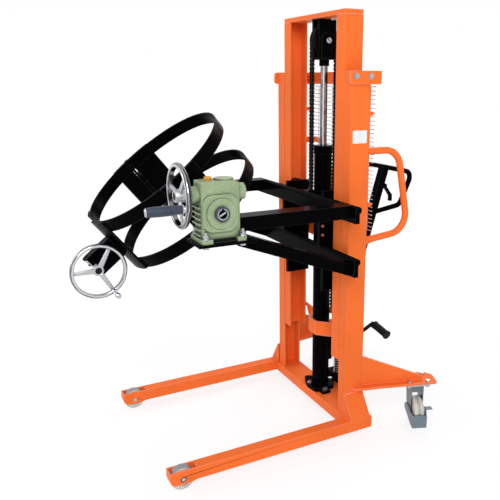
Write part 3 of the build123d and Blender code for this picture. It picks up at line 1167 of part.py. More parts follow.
for name, side in SIDES.items():
    heading = CASTER_HEADING if side > 0 else 180 - CASTER_HEADING
    turn = radians(heading)
    ahead = (cos(turn), sin(turn), 0)
    swivel = Plane(origin=(side * CASTER_X, CASTER_Y, 0), x_dir=ahead, z_dir=(0, 0, 1))

    def spot(x, y, z, place=swivel, flip=side):
        """A point of this caster: ahead of the swivel, out to its brake side, and up."""
        return place.from_local_coords(Vector(x, flip * y, z))

    def sheet(points, inner, outer, place=swivel, flip=side):
        """An upright plate of this caster between two distances from its middle."""
        low = min(flip * inner, flip * outer)
        wall = Plane(origin=place.from_local_coords(Vector(0, low, 0)), x_dir=place.x_dir, z_dir=-place.y_dir)
        prism(wall, points, -abs(outer - inner))

    with BuildPart() as fork:
        leg_shape = [(CROWN_REAR, CROWN_TOP), (CROWN_FRONT, CROWN_TOP), (CROWN_FRONT, APRON_LOW), *FORK_EYE,
                     (FORK_REAR, APRON_LOW)]
        inner, outer = FORK_LEG
        sheet(leg_shape, inner, outer)
        sheet(leg_shape, -outer, -inner)
        sheet([(CROWN_REAR, CROWN_LOW), (CROWN_FRONT, CROWN_LOW), (CROWN_FRONT, CROWN_TOP),
               (CROWN_REAR, CROWN_TOP)], -outer, outer)
        sheet([(CROWN_FRONT - APRON_SHEET, APRON_LOW), (CROWN_FRONT, APRON_LOW), (CROWN_FRONT, CROWN_TOP),
               (CROWN_FRONT - APRON_SHEET, CROWN_TOP)], -outer, outer)
        rod(spot(0, 0, CROWN_TOP - 1), spot(0, 0, RACE_TOP), RACE_R)
        rod(spot(0, 0, CROWN_TOP - 1), spot(0, 0, KINGPIN_TOP), KINGPIN_R)
        rod(spot(CASTER_TRAIL, -CASTER_AXLE_HALF, CASTER_R), spot(CASTER_TRAIL, CASTER_AXLE_HALF, CASTER_R),
            CASTER_AXLE_R)
    keep(fork.part, f"caster_fork_{name}")

    with BuildPart() as caster_wheel:
        half = CASTER_WIDTH / 2
        rod(spot(CASTER_TRAIL, -half, CASTER_R), spot(CASTER_TRAIL, half, CASTER_R), CASTER_R)
        fillet(caster_wheel.edges().filter_by(GeomType.CIRCLE), radius=CASTER_EDGE_R)
        ring = Plane(origin=spot(CASTER_TRAIL, 0, CASTER_R), z_dir=swivel.y_dir)
        with Locations(ring):
            Torus(CASTER_R, CASTER_GROOVE_R, mode=Mode.SUBTRACT)
        rod(spot(CASTER_TRAIL, -half - 1, CASTER_R), spot(CASTER_TRAIL, half + 1, CASTER_R),
            CASTER_AXLE_R + RUN, Mode.SUBTRACT)
    keep(caster_wheel.part, f"caster_wheel_{name}")

    with BuildPart() as guard:
        sheet(GUARD_SIDE, GUARD_HALF - GUARD_SHEET, GUARD_HALF)
        sheet(GUARD_SIDE, -GUARD_HALF, GUARD_SHEET - GUARD_HALF)
        sheet([(GUARD_FRONT - GUARD_SHEET, GUARD_LOW), (GUARD_FRONT, GUARD_LOW), (GUARD_FRONT, GUARD_TOP),
               (GUARD_FRONT - GUARD_SHEET, GUARD_TOP)], -GUARD_HALF, GUARD_HALF)
        for end in (-1, 1):
            rod(spot(CASTER_TRAIL, end * FORK_LEG[1], CASTER_R),
                spot(CASTER_TRAIL, end * GUARD_HALF, CASTER_R), GUARD_BOSS_R)
        rod(spot(CASTER_TRAIL, -GUARD_HALF - 1, CASTER_R), spot(CASTER_TRAIL, GUARD_HALF + 1, CASTER_R),
            CASTER_AXLE_R + LOOSE, Mode.SUBTRACT)
        rod(spot(BRAKE_AT[0], 0, BRAKE_AT[1]), spot(BRAKE_AT[0], GUARD_HALF + 1, BRAKE_AT[1]),
            BRAKE_PIN_R + RUN, Mode.SUBTRACT)
    keep(guard.part, f"caster_guard_{name}")

    with BuildPart() as brake:
        lever_in = GUARD_HALF + 0.5
        rod(spot(BRAKE_AT[0], GUARD_HALF - GUARD_SHEET, BRAKE_AT[1]),
            spot(BRAKE_AT[0], lever_in + BRAKE_SHEET, BRAKE_AT[1]), BRAKE_PIN_R)
        sheet(BRAKE_LEVER, lever_in, lever_in + BRAKE_SHEET)
        sheet(BRAKE_TAB, lever_in, BRAKE_REACH)
    keep(brake.part, f"caster_brake_{name}")

# Hand pump behind the barrel

with BuildPart() as pump:
    slab(-PUMP_HALF, PUMP_HALF, PUMP_FRONT, PUMP_REAR, BASE_TOP, PUMP_TOP)
    fillet(pump.edges().filter_by(Axis.Z), radius=PUMP_CORNER)
    for side in SIDES.values():
        low_x = min(side * PUMP_EAR_IN, side * PUMP_EAR_OUT)
        prism(Plane.YZ.offset(low_x), PUMP_EAR, PUMP_EAR_OUT - PUMP_EAR_IN)
    post_x0, post_x1, post_y0, post_y1 = PEDAL_POST
    slab(post_x0, post_x1, post_y0, post_y1, PUMP_TOP - 1, PEDAL_Z + PEDAL_POST_RISE)
    rod((*VALVE_AT, PUMP_TOP - 1), (*VALVE_AT, VALVE_TOP), VALVE_R)
    rod((-PUMP_EAR_OUT - 1, TILLER_Y, TILLER_Z), (PUMP_EAR_OUT + 1, TILLER_Y, TILLER_Z),
        TILLER_PIN_R + LOOSE, Mode.SUBTRACT)
    rod((post_x0 - 1, PEDAL_Y, PEDAL_Z), (post_x1 + 1, PEDAL_Y, PEDAL_Z), PEDAL_R + RUN, Mode.SUBTRACT)
    rod((0, PLUNGER_Y, PLUNGER_FOOT - 1), (0, PLUNGER_Y, PUMP_TOP + 1), PLUNGER_R + RUN, Mode.SUBTRACT)
keep(pump.part, "pump_body")

with BuildPart() as plunger:
    rod((0, PLUNGER_Y, PLUNGER_FOOT), (0, PLUNGER_Y, PLUNGER_TOP), PLUNGER_R)
    rod((0, PLUNGER_Y, PLUNGER_TOP - CAP_THICK), (0, PLUNGER_Y, PLUNGER_TOP), CAP_R)
keep(plunger.part, "pump_plunger")

# Return spring: one unbroken wire whose turns are pairs of tangent arcs, four pairs a turn

SPRING_LOW = PUMP_TOP + SPRING_WIRE_R + SPRING_SEAT
SPRING_HIGH = PLUNGER_TOP - CAP_THICK - SPRING_WIRE_R - SPRING_SEAT
SPRING_PITCH = (SPRING_HIGH - SPRING_LOW) / SPRING_TURNS


def spring_point(turn):
    """A point on the middle of the spring's wire, after so many turns."""
    angle = 2 * pi * turn
    return Vector(SPRING_R * cos(angle), PLUNGER_Y + SPRING_R * sin(angle), SPRING_LOW + SPRING_PITCH * turn)


def spring_direction(turn):
    """The way the wire runs after so many turns."""
    angle = 2 * pi * turn
    rise = SPRING_PITCH / (2 * pi)
    return Vector(-SPRING_R * sin(angle), SPRING_R * cos(angle), rise).normalized()


with BuildLine() as spring_path:
    for quarter in range(4 * SPRING_TURNS):
        first, last = spring_point(quarter / 4), spring_point((quarter + 1) / 4)
        leave, arrive = spring_direction(quarter / 4), spring_direction((quarter + 1) / 4)
        chord = last - first
        both = leave + arrive
        spread = 2 * (1 - leave.dot(arrive))
        reach = (sqrt(chord.dot(both) ** 2 + spread * chord.dot(chord)) - chord.dot(both)) / spread
        join = (first + leave * reach + last - arrive * reach) * 0.5
        TangentArc(first, join, tangent=leave)
        TangentArc(join, last, tangent=last - arrive * reach - join)

with BuildPart() as spring:
    with BuildSketch(Plane(origin=spring_path.line @ 0, z_dir=spring_path.line % 0)) as wire:
        Circle(SPRING_WIRE_R)
    sweep(wire.sketch, path=spring_path.line)
keep(spring.part, "pump_spring")

steps = 48
trace = [spring_point(step / steps) for step in range(steps * SPRING_TURNS + 1)]
least = min((trace[later] - trace[early]).length
            for early in range(len(trace)) for later in range(early + steps // 2, len(trace)))
print(f"spring: least gap between turns {least - 2 * SPRING_WIRE_R:.2f} mm")

# Tiller: cranked stem with a loop handle


def leaning(foot, head):
    """A plane through two points of the middle of the tiller, its y axis running from one to the other."""
    rise, back = head[1] - foot[1], head[0] - foot[0]
    return Plane(origin=(0, *foot), x_dir=(1, 0, 0), z_dir=(0, -rise, back))


def stem(foot, head):
    """A straight run of the tiller's square tube."""
    reach = hypot(head[0] - foot[0], head[1] - foot[1]) + TILLER_LAP
    section = [(-TILLER_HALF, 0), (TILLER_HALF, 0), (TILLER_HALF, reach), (-TILLER_HALF, reach)]
    prism(leaning(foot, head).offset(-TILLER_HALF), section, 2 * TILLER_HALF)


TILLER = leaning(TILLER_KNEE, TILLER_TOP)


def along_tiller(x, up, back=0.0):
    """A point of the tiller: sideways, up along its upper run, and behind it."""
    return TILLER.from_local_coords(Vector(x, up, -back))


with BuildPart() as tiller:
    rod((-TILLER_HUB_HALF, TILLER_Y, TILLER_Z), (TILLER_HUB_HALF, TILLER_Y, TILLER_Z), TILLER_HUB_R)
    stem((TILLER_Y, TILLER_Z), TILLER_KNEE)
    stem(TILLER_KNEE, TILLER_TOP)
    rod((0, TILLER_Y, TILLER_Z), (0, PLUNGER_Y, TAPPET_Z), TAPPET_ARM_R)
    rod((-TAPPET_HALF, PLUNGER_Y, TAPPET_Z), (TAPPET_HALF, PLUNGER_Y, TAPPET_Z), TAPPET_R)
    for side in SIDES.values():
        bent_tube([along_tiller(side * x, up) for x, up in LOOP_CORNERS], LOOP_R, LOOP_BEND)
    rod((-TILLER_PIN_HALF, TILLER_Y, TILLER_Z), (TILLER_PIN_HALF, TILLER_Y, TILLER_Z),
        TILLER_PIN_R + RUN, Mode.SUBTRACT)
    for side in SIDES.values():
        low_x = min(side * TRIGGER_CHEEK_IN, side * TRIGGER_CHEEK_OUT)
        cheek = Plane(origin=along_tiller(low_x, TRIGGER_AT), x_dir=TILLER.y_dir, z_dir=(1, 0, 0))
        prism(cheek, TRIGGER_CHEEK, TRIGGER_CHEEK_OUT - TRIGGER_CHEEK_IN)
    rod(along_tiller(-TRIGGER_CHEEK_OUT, TRIGGER_AT, TRIGGER_BACK),
        along_tiller(TRIGGER_CHEEK_OUT, TRIGGER_AT, TRIGGER_BACK), TRIGGER_PIN_R)
keep(tiller.part, "tiller")

with BuildPart() as trigger:
    rod(along_tiller(-TRIGGER_EYE_HALF, TRIGGER_AT, TRIGGER_BACK),
        along_tiller(TRIGGER_EYE_HALF, TRIGGER_AT, TRIGGER_BACK), TRIGGER_EYE_R)
    lever_face = Plane(origin=along_tiller(-TRIGGER_HALF, TRIGGER_AT, TRIGGER_BACK),
                       x_dir=TILLER.y_dir, z_dir=(1, 0, 0))
    prism(lever_face, TRIGGER_LEVER, 2 * TRIGGER_HALF)
    rod(along_tiller(-TRIGGER_CHEEK_IN, TRIGGER_AT, TRIGGER_BACK),
        along_tiller(TRIGGER_CHEEK_IN, TRIGGER_AT, TRIGGER_BACK), TRIGGER_PIN_R + RUN, Mode.SUBTRACT)
keep(trigger.part, "release_trigger")

# Foot pedal: shaft, cranked arm and rubber grip

with BuildPart() as pedal:
    knee = Vector(PEDAL_X, *PEDAL_KNEE)
    run = Vector(*PEDAL_GRIP_END) - knee
    rod((PEDAL_IN, PEDAL_Y, PEDAL_Z), (PEDAL_X, PEDAL_Y, PEDAL_Z), PEDAL_R)
    rod((PEDAL_X - PEDAL_HUB_HALF, PEDAL_Y, PEDAL_Z), (PEDAL_X + PEDAL_HUB_HALF, PEDAL_Y, PEDAL_Z),
        PEDAL_HUB_R)
    rod((PEDAL_X, PEDAL_Y, PEDAL_Z), knee, PEDAL_R)
    with Locations(knee):
        Sphere(PEDAL_R)
    rod(knee, PEDAL_GRIP_END, PEDAL_R)
    rod(knee + run * PEDAL_GRIP_FROM, knee + run * PEDAL_GRIP_TO, PEDAL_GRIP_R)
    for start, end, collar_r in PEDAL_COLLARS:
        rod(knee + run * start, knee + run * end, collar_r)
keep(pedal.part, "foot_pedal")

# Zinc hardware on the chassis: axles, bolts, pivot pin and caster plates

with BuildPart() as hardware:
    for side in SIDES.values():
        rod((side * LEG_IN, ROLLER_Y, ROLLER_R), (side * (LEG_OUT - 1), ROLLER_Y, ROLLER_R), AXLE_R)
        plate_face = OUTER_X + BRIDGE_PLATE
        for y in BRIDGE_BOLT_Y:
            hexagon((side * plate_face, y, BRIDGE_BOLT_Z),
                    (side * (plate_face + HEAD_HEIGHT), y, BRIDGE_BOLT_Z), NUT)
        turn = radians(CASTER_PLATE_TURN)
        seat = Plane(origin=(side * CASTER_X, CASTER_Y, CASTER_PLATE_LOW),
                     x_dir=(cos(turn), -side * sin(turn), 0), z_dir=(0, 0, 1))
        with BuildSketch(seat) as caster_plate:
            Rectangle(*CASTER_PLATE)
            Circle(KINGPIN_R + RUN, mode=Mode.SUBTRACT)
        extrude(caster_plate.sketch, amount=WING_LOW - CASTER_PLATE_LOW)
        for x, y in caster_bolts(side):
            rod((x, y, CASTER_PLATE_LOW - HEAD_HEIGHT), (x, y, WING_TOP + 1), CASTER_BOLT_R)
            hexagon((x, y, WING_TOP), (x, y, WING_TOP + HEAD_HEIGHT), NUT)
            hexagon((x, y, CASTER_PLATE_LOW - HEAD_HEIGHT), (x, y, CASTER_PLATE_LOW), NUT)
    for x, y in FOOT_BOLTS:
        rod((x, y, BASE_TOP), (x, y, BARREL_LOW + 1), BOLT_R)
        hexagon((x, y, BARREL_LOW), (x, y, BARREL_LOW + NUT_HEIGHT), NUT)
    port_x = (PORT_FROM[0] + PORT_TO[0]) / 2
    port_y = (PORT_FROM[1] + PORT_TO[1]) / 2
    hexagon((port_x, port_y, PORT_TOP), (port_x, port_y, PORT_TOP + HEAD_HEIGHT), PORT_PLUG)
    rod((-TILLER_PIN_HALF, TILLER_Y, TILLER_Z), (TILLER_PIN_HALF, TILLER_Y, TILLER_Z), TILLER_PIN_R)
    for side in SIDES.values():
        hexagon((side * PUMP_EAR_OUT, TILLER_Y, TILLER_Z),
                (side * (PUMP_EAR_OUT + HEAD_HEIGHT), TILLER_Y, TILLER_Z), TILLER_PIN_HEAD)
keep(hardware.part, "frame_hardware")

# Bolts on the carriage: gearbox studs, bearing screws and cheek bolts

with BuildPart() as carriage_bolts:
    under = BOX_FLOOR - BOX_PLATE
    for x, y in GEARBOX_BOLTS:
        rod((x, y, under - HEAD_HEIGHT - 1), (x, y, PAD_TOP + NUT_HEIGHT + BOLT_R), BOLT_R)
        hexagon((x, y, under - HEAD_HEIGHT), (x, y, under), NUT)
        hexagon((x, y, PAD_TOP), (x, y, PAD_TOP + NUT_HEIGHT), NUT)
    flange_x = EAR_X - BEARING_SHEET
    for dy in (-BEARING_SCREW, BEARING_SCREW):
        for dz in (-BEARING_SCREW, BEARING_SCREW):
            hexagon((flange_x - HEAD_HEIGHT, PIVOT_Y + dy, PIVOT_Z + dz),
                    (flange_x, PIVOT_Y + dy, PIVOT_Z + dz), NUT)
    for side in SIDES.values():
        for z in CHEEK_BOLT_Z:
            hexagon((side * CHEEK_OUT, CHEEK_BOLT_Y, z),
                    (side * (CHEEK_OUT + HEAD_HEIGHT), CHEEK_BOLT_Y, z), CHEEK_BOLT_HEAD)
keep(carriage_bolts.part, "carriage_bolts")
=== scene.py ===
import json
from math import cos, pi, radians, sin

import bmesh
import bpy
from bpy.props import FloatProperty, FloatVectorProperty, IntProperty, PointerProperty
from mathutils import Matrix, Vector

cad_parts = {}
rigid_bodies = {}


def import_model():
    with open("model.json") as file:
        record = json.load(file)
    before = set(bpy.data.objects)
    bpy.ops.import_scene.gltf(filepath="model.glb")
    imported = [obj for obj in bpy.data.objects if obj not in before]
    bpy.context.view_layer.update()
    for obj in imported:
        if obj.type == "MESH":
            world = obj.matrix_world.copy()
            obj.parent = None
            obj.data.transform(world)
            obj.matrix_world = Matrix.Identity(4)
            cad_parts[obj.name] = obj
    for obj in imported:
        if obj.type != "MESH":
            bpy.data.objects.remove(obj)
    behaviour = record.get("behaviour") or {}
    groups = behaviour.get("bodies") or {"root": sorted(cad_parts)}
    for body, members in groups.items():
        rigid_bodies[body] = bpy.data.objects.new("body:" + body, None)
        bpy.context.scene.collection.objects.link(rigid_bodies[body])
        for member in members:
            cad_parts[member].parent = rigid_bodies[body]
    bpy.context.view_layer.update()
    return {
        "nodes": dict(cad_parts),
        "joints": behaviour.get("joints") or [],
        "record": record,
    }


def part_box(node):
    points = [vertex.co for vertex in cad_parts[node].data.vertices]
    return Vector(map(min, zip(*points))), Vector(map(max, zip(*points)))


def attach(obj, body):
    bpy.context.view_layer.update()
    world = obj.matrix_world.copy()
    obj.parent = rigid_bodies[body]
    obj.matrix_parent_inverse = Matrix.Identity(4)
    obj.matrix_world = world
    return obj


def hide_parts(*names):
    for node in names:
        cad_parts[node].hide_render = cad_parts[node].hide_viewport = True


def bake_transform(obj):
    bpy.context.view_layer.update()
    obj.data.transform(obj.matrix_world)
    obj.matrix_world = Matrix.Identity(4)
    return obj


# Blender's start-up objects go before the frame comes in
for leftover in list(bpy.data.objects):
    bpy.data.objects.remove(leftover)
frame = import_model()

bl_info = {
    "name": "Drum stacker looks",
    "version": (1, 0, 0),
    "blender": (4, 5, 0),
    "location": "View3D > Sidebar > Stacker",
    "description": "Finishes, chain, guard, hand-wheels and fittings of a hand-pumped drum stacker",
    "category": "Object",
}

SIDES = {"near": 1, "far": -1}
JOINTS = {joint["name"]: joint for joint in frame["joints"]}


def middle(node):
    """The middle of a node's box."""
    low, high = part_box(node)
    return (low + high) / 2


# The mast's middle on the floor, from which places on the machine are told
MAST = Vector((middle("sheave").x, middle("outer_mast_near").y, 0))


def on_mast(x, y, z):
    """A point told in millimetres from the mast's middle on the floor."""
    return MAST + Vector((x, y, z)) / 1000


def linear(red, green, blue):
    """A colour as it shows on a screen, 0 to 255, in the light values that a shader takes."""
    def channel(value):
        share = value / 255
        return share / 12.92 if share <= 0.04045 else ((share + 0.055) / 1.055) ** 2.4
    return channel(red), channel(green), channel(blue)


def colour(name, description, red, green, blue):
    """A colour that a user can change."""
    return FloatVectorProperty(name=name, description=description, subtype="COLOR", size=3,
                               min=0.0, max=1.0, default=linear(red, green, blue))


def length(name, description, metres):
    """A size that a user can change."""
    return FloatProperty(name=name, description=description, default=metres, unit="LENGTH")


class StackerSizes(bpy.types.PropertyGroup):
    """Sizes of the pieces that dress the machine."""
    edge_round: length("Edge round", "Radius of the rounded edges on rolled and folded steel", 0.0022)
    chain_pitch: length("Chain pitch", "Distance between two pins of the lifting chain", 0.015875)
    chain_plate: length("Chain plate", "Thickness of one side plate of the chain", 0.0018)
    chain_roller: length("Chain roller", "Radius of a roller of the chain", 0.0051)
    wire: length("Guard wire", "Radius of the guard's wires", 0.0016)
    wire_rows: IntProperty(name="Guard rows", description="Wires across the guard", default=36)
    wire_columns: IntProperty(name="Guard columns", description="Wires up the guard", default=9)
    spring_wire: length("Spring wire", "Radius of the return spring's wire", 0.0022)
    spring_turns: IntProperty(name="Spring turns", description="Turns of the return spring", default=7)
    tilt_rim: length("Tilt wheel rim", "Radius of the tilting wheel's rim", 0.010)
    clamp_rim: length("Clamp wheel rim", "Radius of the clamp wheel's rim", 0.009)


class StackerColours(bpy.types.PropertyGroup):
    """Colours of the machine and of its stage."""
    orange: colour("Orange", "Powder coat of the frame", 247, 116, 50)
    black: colour("Black", "Gloss paint of the clamp, arms and cylinder", 4, 4, 5)
    sage: colour("Olive green", "Paint of the gearbox casting", 146, 164, 126)
    steel: colour("Zinc", "Plated bolts and pins", 186, 189, 192)
    fork: colour("Fork", "Plated forks of the casters", 118, 126, 130)
    chrome: colour("Chrome", "Hard chrome of the ram", 214, 216, 220)
    alloy: colour("Alloy", "Cast alloy of the hand-wheels", 196, 198, 202)
    oiled: colour("Oiled steel", "Chain, springs and rollers", 14, 14, 16)
    bronze: colour("Bronze", "Worm wheel's rim", 186, 140, 78)
    nylon: colour("Nylon", "Load rollers and caster wheels", 204, 203, 194)
    tread: colour("Tread", "Running face of the load rollers", 146, 146, 146)
    grip: colour("Grip", "Turning grip of the tilting wheel", 44, 54, 72)
    guard: colour("Guard grey", "Foot guards of the casters", 112, 128, 138)
    wire: colour("Wire", "Coated wire of the rear guard", 204, 206, 208)
    yellow: colour("Yellow", "Breather plug", 226, 160, 36)
    red: colour("Red", "Plug of the cylinder's foot", 150, 36, 34)
    label: colour("Label", "Blank label plate", 238, 240, 242)
    floor: colour("Floor", "Pale studio floor", 250, 250, 250)


def sizes():
    """The sizes set for this scene."""
    return bpy.context.scene.stacker_sizes


def colours():
    """The colours set for this scene."""
    return bpy.context.scene.stacker_colours


# Finishes

def socket(node, identifier, group="inputs"):
    """A node's socket by its identifier, where several share one name."""
    return next(each for each in getattr(node, group) if each.identifier == identifier)


def new_finish(name):
    """An empty material with a principled shader."""
    finish = bpy.data.materials.new(name)
    finish.use_nodes = True
    tree = finish.node_tree
    tree.nodes.clear()
    shader = tree.nodes.new("ShaderNodeBsdfPrincipled")
    output = tree.nodes.new("ShaderNodeOutputMaterial")
    tree.links.new(shader.outputs["BSDF"], output.inputs["Surface"])
    return finish, tree, shader


def set_gloss(shader, metallic=0.0, specular=0.5):
    """Numbers that are the same all over a surface."""
    shader.inputs["Metallic"].default_value = metallic
    shader.inputs["Specular IOR Level"].default_value = specular


def speckle(tree, per_metre, detail=3.0):
    """Noise in the object's own coordinates, so many spots to the metre."""
    place = tree.nodes.new("ShaderNodeTexCoord")
    noise = tree.nodes.new("ShaderNodeTexNoise")
    noise.inputs["Scale"].default_value = per_metre
    noise.inputs["Detail"].default_value = detail
    tree.links.new(place.outputs["Object"], noise.inputs["Vector"])
    return noise.outputs["Fac"]


def ramp(tree, value, stops):
    """Colours along a value from 0 to 1."""
    node = tree.nodes.new("ShaderNodeValToRGB")
    tree.links.new(value, node.inputs["Fac"])
    marks = node.color_ramp.elements
    while len(marks) < len(stops):
        marks.new(0.5)
    for mark, (place, shade) in zip(marks, stops):
        mark.position = place
        mark.color = (*shade, 1)
    return node.outputs["Color"]


def spread(tree, value, low, high, start=0.3, end=0.7):
    """A value between two noise levels, stretched to a range."""
    node = tree.nodes.new("ShaderNodeMapRange")
    node.inputs["From Min"].default_value = start
    node.inputs["From Max"].default_value = end
    node.inputs["To Min"].default_value = low
    node.inputs["To Max"].default_value = high
    tree.links.new(value, node.inputs["Value"])
    return node.outputs["Result"]


def combine(tree, operation, first, second):
    """Two values, or a value and a number, joined by one step of arithmetic."""
    node = tree.nodes.new("ShaderNodeMath")
    node.operation = operation
    for place, value in zip(node.inputs, (first, second)):
        if isinstance(value, (int, float)):
            place.default_value = value
        else:
            tree.links.new(value, place)
    return node.outputs["Value"]


def mix_colours(tree, share, first, second):
    """One colour over another, by a share from 0 to 1."""
    node = tree.nodes.new("ShaderNodeMix")
    node.data_type = "RGBA"
    tree.links.new(share, socket(node, "Factor_Float"))
    for identifier, value in (("A_Color", first), ("B_Color", second)):
        place = socket(node, identifier)
        if isinstance(value, tuple):
            place.default_value = (*value, 1)
        else:
            tree.links.new(value, place)
    return socket(node, "Result_Color", "outputs")


def relief(tree, shader, value, height, strength):
    """Bump from a value, so high in metres."""
    node = tree.nodes.new("ShaderNodeBump")
    node.inputs["Strength"].default_value = strength
    node.inputs["Distance"].default_value = height
    tree.links.new(value, node.inputs["Height"])
    tree.links.new(node.outputs["Normal"], shader.inputs["Normal"])


def from_axis(tree, point):
    """How far a spot of a piece lies from a line along X through a point."""
    place = tree.nodes.new("ShaderNodeTexCoord")
    shift = tree.nodes.new("ShaderNodeMapping")
    shift.inputs["Location"].default_value = (0, -point.y, -point.z)
    shift.inputs["Scale"].default_value = (0, 1, 1)
    away = tree.nodes.new("ShaderNodeVectorMath")
    away.operation = "LENGTH"
    tree.links.new(place.outputs["Object"], shift.inputs["Vector"])
    tree.links.new(shift.outputs["Vector"], away.inputs[0])
    return away.outputs["Value"]


def edges(tree, radius):
    """1 along outer and inner edges, 0 on open faces."""
    least_turn, most_turn = 0.02, 0.25
    rounded = tree.nodes.new("ShaderNodeBevel")
    rounded.samples = 6
    rounded.inputs["Radius"].default_value = radius
    flat = tree.nodes.new("ShaderNodeNewGeometry")
    compare = tree.nodes.new("ShaderNodeVectorMath")
    compare.operation = "DOT_PRODUCT"
    tree.links.new(rounded.outputs["Normal"], compare.inputs[0])
    tree.links.new(flat.outputs["Normal"], compare.inputs[1])
    away = combine(tree, "SUBTRACT", 1.0, compare.outputs["Value"])
    return spread(tree, away, 0.0, 1.0, least_turn, most_turn)


def toned(shade, factor):
    """A colour made lighter or darker."""
    return tuple(min(1.0, part * factor) for part in shade)


def painted(name, shade, edge_highlight, per_metre, roughness, specular, peel, rim=0.004, share=0.8):
    """Paint on steel: slow changes of tone, orange-peel relief, and edges painted lighter in random patches
    as a painted highlight.
    """
    finish, tree, shader = new_finish(name)
    slow = speckle(tree, per_metre, 4.0)
    fine = speckle(tree, 420, 2.0)
    body = ramp(tree, slow, [(0.3, toned(shade, 0.93)), (0.5, tuple(shade)), (0.7, toned(shade, 1.05))])
    patchy = spread(tree, speckle(tree, 38, 5.0), share / 3, share)
    # Edges mixed towards a lighter colour: a painted highlight, in random patches
    edge = combine(tree, "MULTIPLY", edges(tree, rim), patchy)
    tree.links.new(mix_colours(tree, edge, body, edge_highlight), shader.inputs["Base Color"])
    tree.links.new(spread(tree, slow, roughness - 0.05, roughness + 0.06), shader.inputs["Roughness"])
    set_gloss(shader, 0.0, specular)
    relief(tree, shader, fine, 0.0003, peel)
    return finish


def orange_paint():
    """Gloss powder coat of the frame."""
    shade = colours().orange
    # The paler orange for the edges is a painted highlight
    edge_highlight = tuple(part + (1 - part) * 0.5 for part in shade)
    return painted("orange_paint", shade, edge_highlight, per_metre=5, roughness=0.42, specular=0.10, peel=0.10,
                   rim=0.0048, share=1.0)


def black_paint():
    """Deep gloss paint of the clamp, arms, cylinder and pump."""
    # The grey given for the edges is a painted highlight
    return painted("black_paint", colours().black, linear(84, 86, 92), per_metre=7, roughness=0.26,
                   specular=0.014, peel=0.06, rim=0.0026)


def pedal_black():
    """Black of the pedal's arm and of its rubber grip."""
    return painted("pedal_black", toned(colours().black, 3), linear(62, 63, 66), per_metre=40, roughness=0.46,
                   specular=0.12, peel=0.3)


def blue_grey_paint():
    """Satin paint of the casters' foot guards and brake tabs."""
    shade = colours().guard
    # The lighter grey given for the edges is a painted highlight
    return painted("blue_grey_paint", shade, toned(shade, 1.7), per_metre=16, roughness=0.36, specular=0.3,
                   peel=0.15, rim=0.003)


def white_wire():
    """Coated wire of the rear guard."""
    shade = colours().wire
    # The lighter colour given for the edges is a painted highlight
    return painted("white_wire", shade, toned(shade, 1.12), per_metre=30, roughness=0.5, specular=0.08,
                   peel=0.2)


def hollows(tree, reach):
    """1 on open faces, less in corners and gaps; it sets where shade is painted."""
    node = tree.nodes.new("ShaderNodeAmbientOcclusion")
    node.samples = 8
    node.inputs["Distance"].default_value = reach
    return node.outputs["AO"]


def green_casting():
    """Paint over a sand casting: a grainy skin, painted highlights on the edges and painted shade in the
    corners.
    """
    finish, tree, shader = new_finish("green_casting")
    shade = colours().sage
    grain = speckle(tree, 260, 5.0)
    slow = speckle(tree, 22, 4.0)
    body = ramp(tree, slow, [(0.3, toned(shade, 0.76)), (0.52, tuple(shade)), (0.72, toned(shade, 1.16))])
    pits = ramp(tree, grain, [(0.32, toned(shade, 0.62)), (0.46, tuple(shade)), (0.7, toned(shade, 1.14))])
    flecked = mix_colours(tree, spread(tree, grain, 0.25, 0.6), body, pits)
    # Paler edges: a painted highlight
    edge = combine(tree, "MULTIPLY", edges(tree, 0.003), spread(tree, slow, 0.3, 0.7))
    edge_highlight = mix_colours(tree, edge, flecked, linear(188, 204, 168))
    # Corners and gaps darkened from ambient occlusion: painted shade
    unshaded_share = spread(tree, hollows(tree, 0.02), 0.0, 1.0, 0.35, 0.85)
    tree.links.new(mix_colours(tree, unshaded_share, toned(shade, 0.16), edge_highlight), shader.inputs["Base Color"])
    tree.links.new(spread(tree, grain, 0.24, 0.44), shader.inputs["Roughness"])
    set_gloss(shader, 0.0, 0.55)
    relief(tree, shader, grain, 0.0008, 0.35)
    return finish


def metal(name, shade, low, high, per_metre, bump, contrast, metallic=1.0):
    """Bare metal with a fine grain, its roughness between a low and a high value."""
    finish, tree, shader = new_finish(name)
    grain = speckle(tree, per_metre, 4.0)
    slow = speckle(tree, 18, 3.0)
    drawn = ramp(tree, grain, [(0.3, toned(shade, 1 - contrast)), (0.7, toned(shade, 1 + contrast / 2))])
    dull = ramp(tree, slow, [(0.3, toned(shade, 1 - contrast)), (0.7, toned(shade, 1 + contrast / 3))])
    # Edges are painted lighter: a painted highlight
    edge = edges(tree, 0.002)
    body = mix_colours(tree, spread(tree, slow, 0.3, 0.7), drawn, dull)
    tree.links.new(mix_colours(tree, edge, body, toned(shade, 1.25)), shader.inputs["Base Color"])
    tree.links.new(spread(tree, grain, low, high), shader.inputs["Roughness"])
    set_gloss(shader, metallic)
    relief(tree, shader, grain, 0.0004, bump)
    return finish


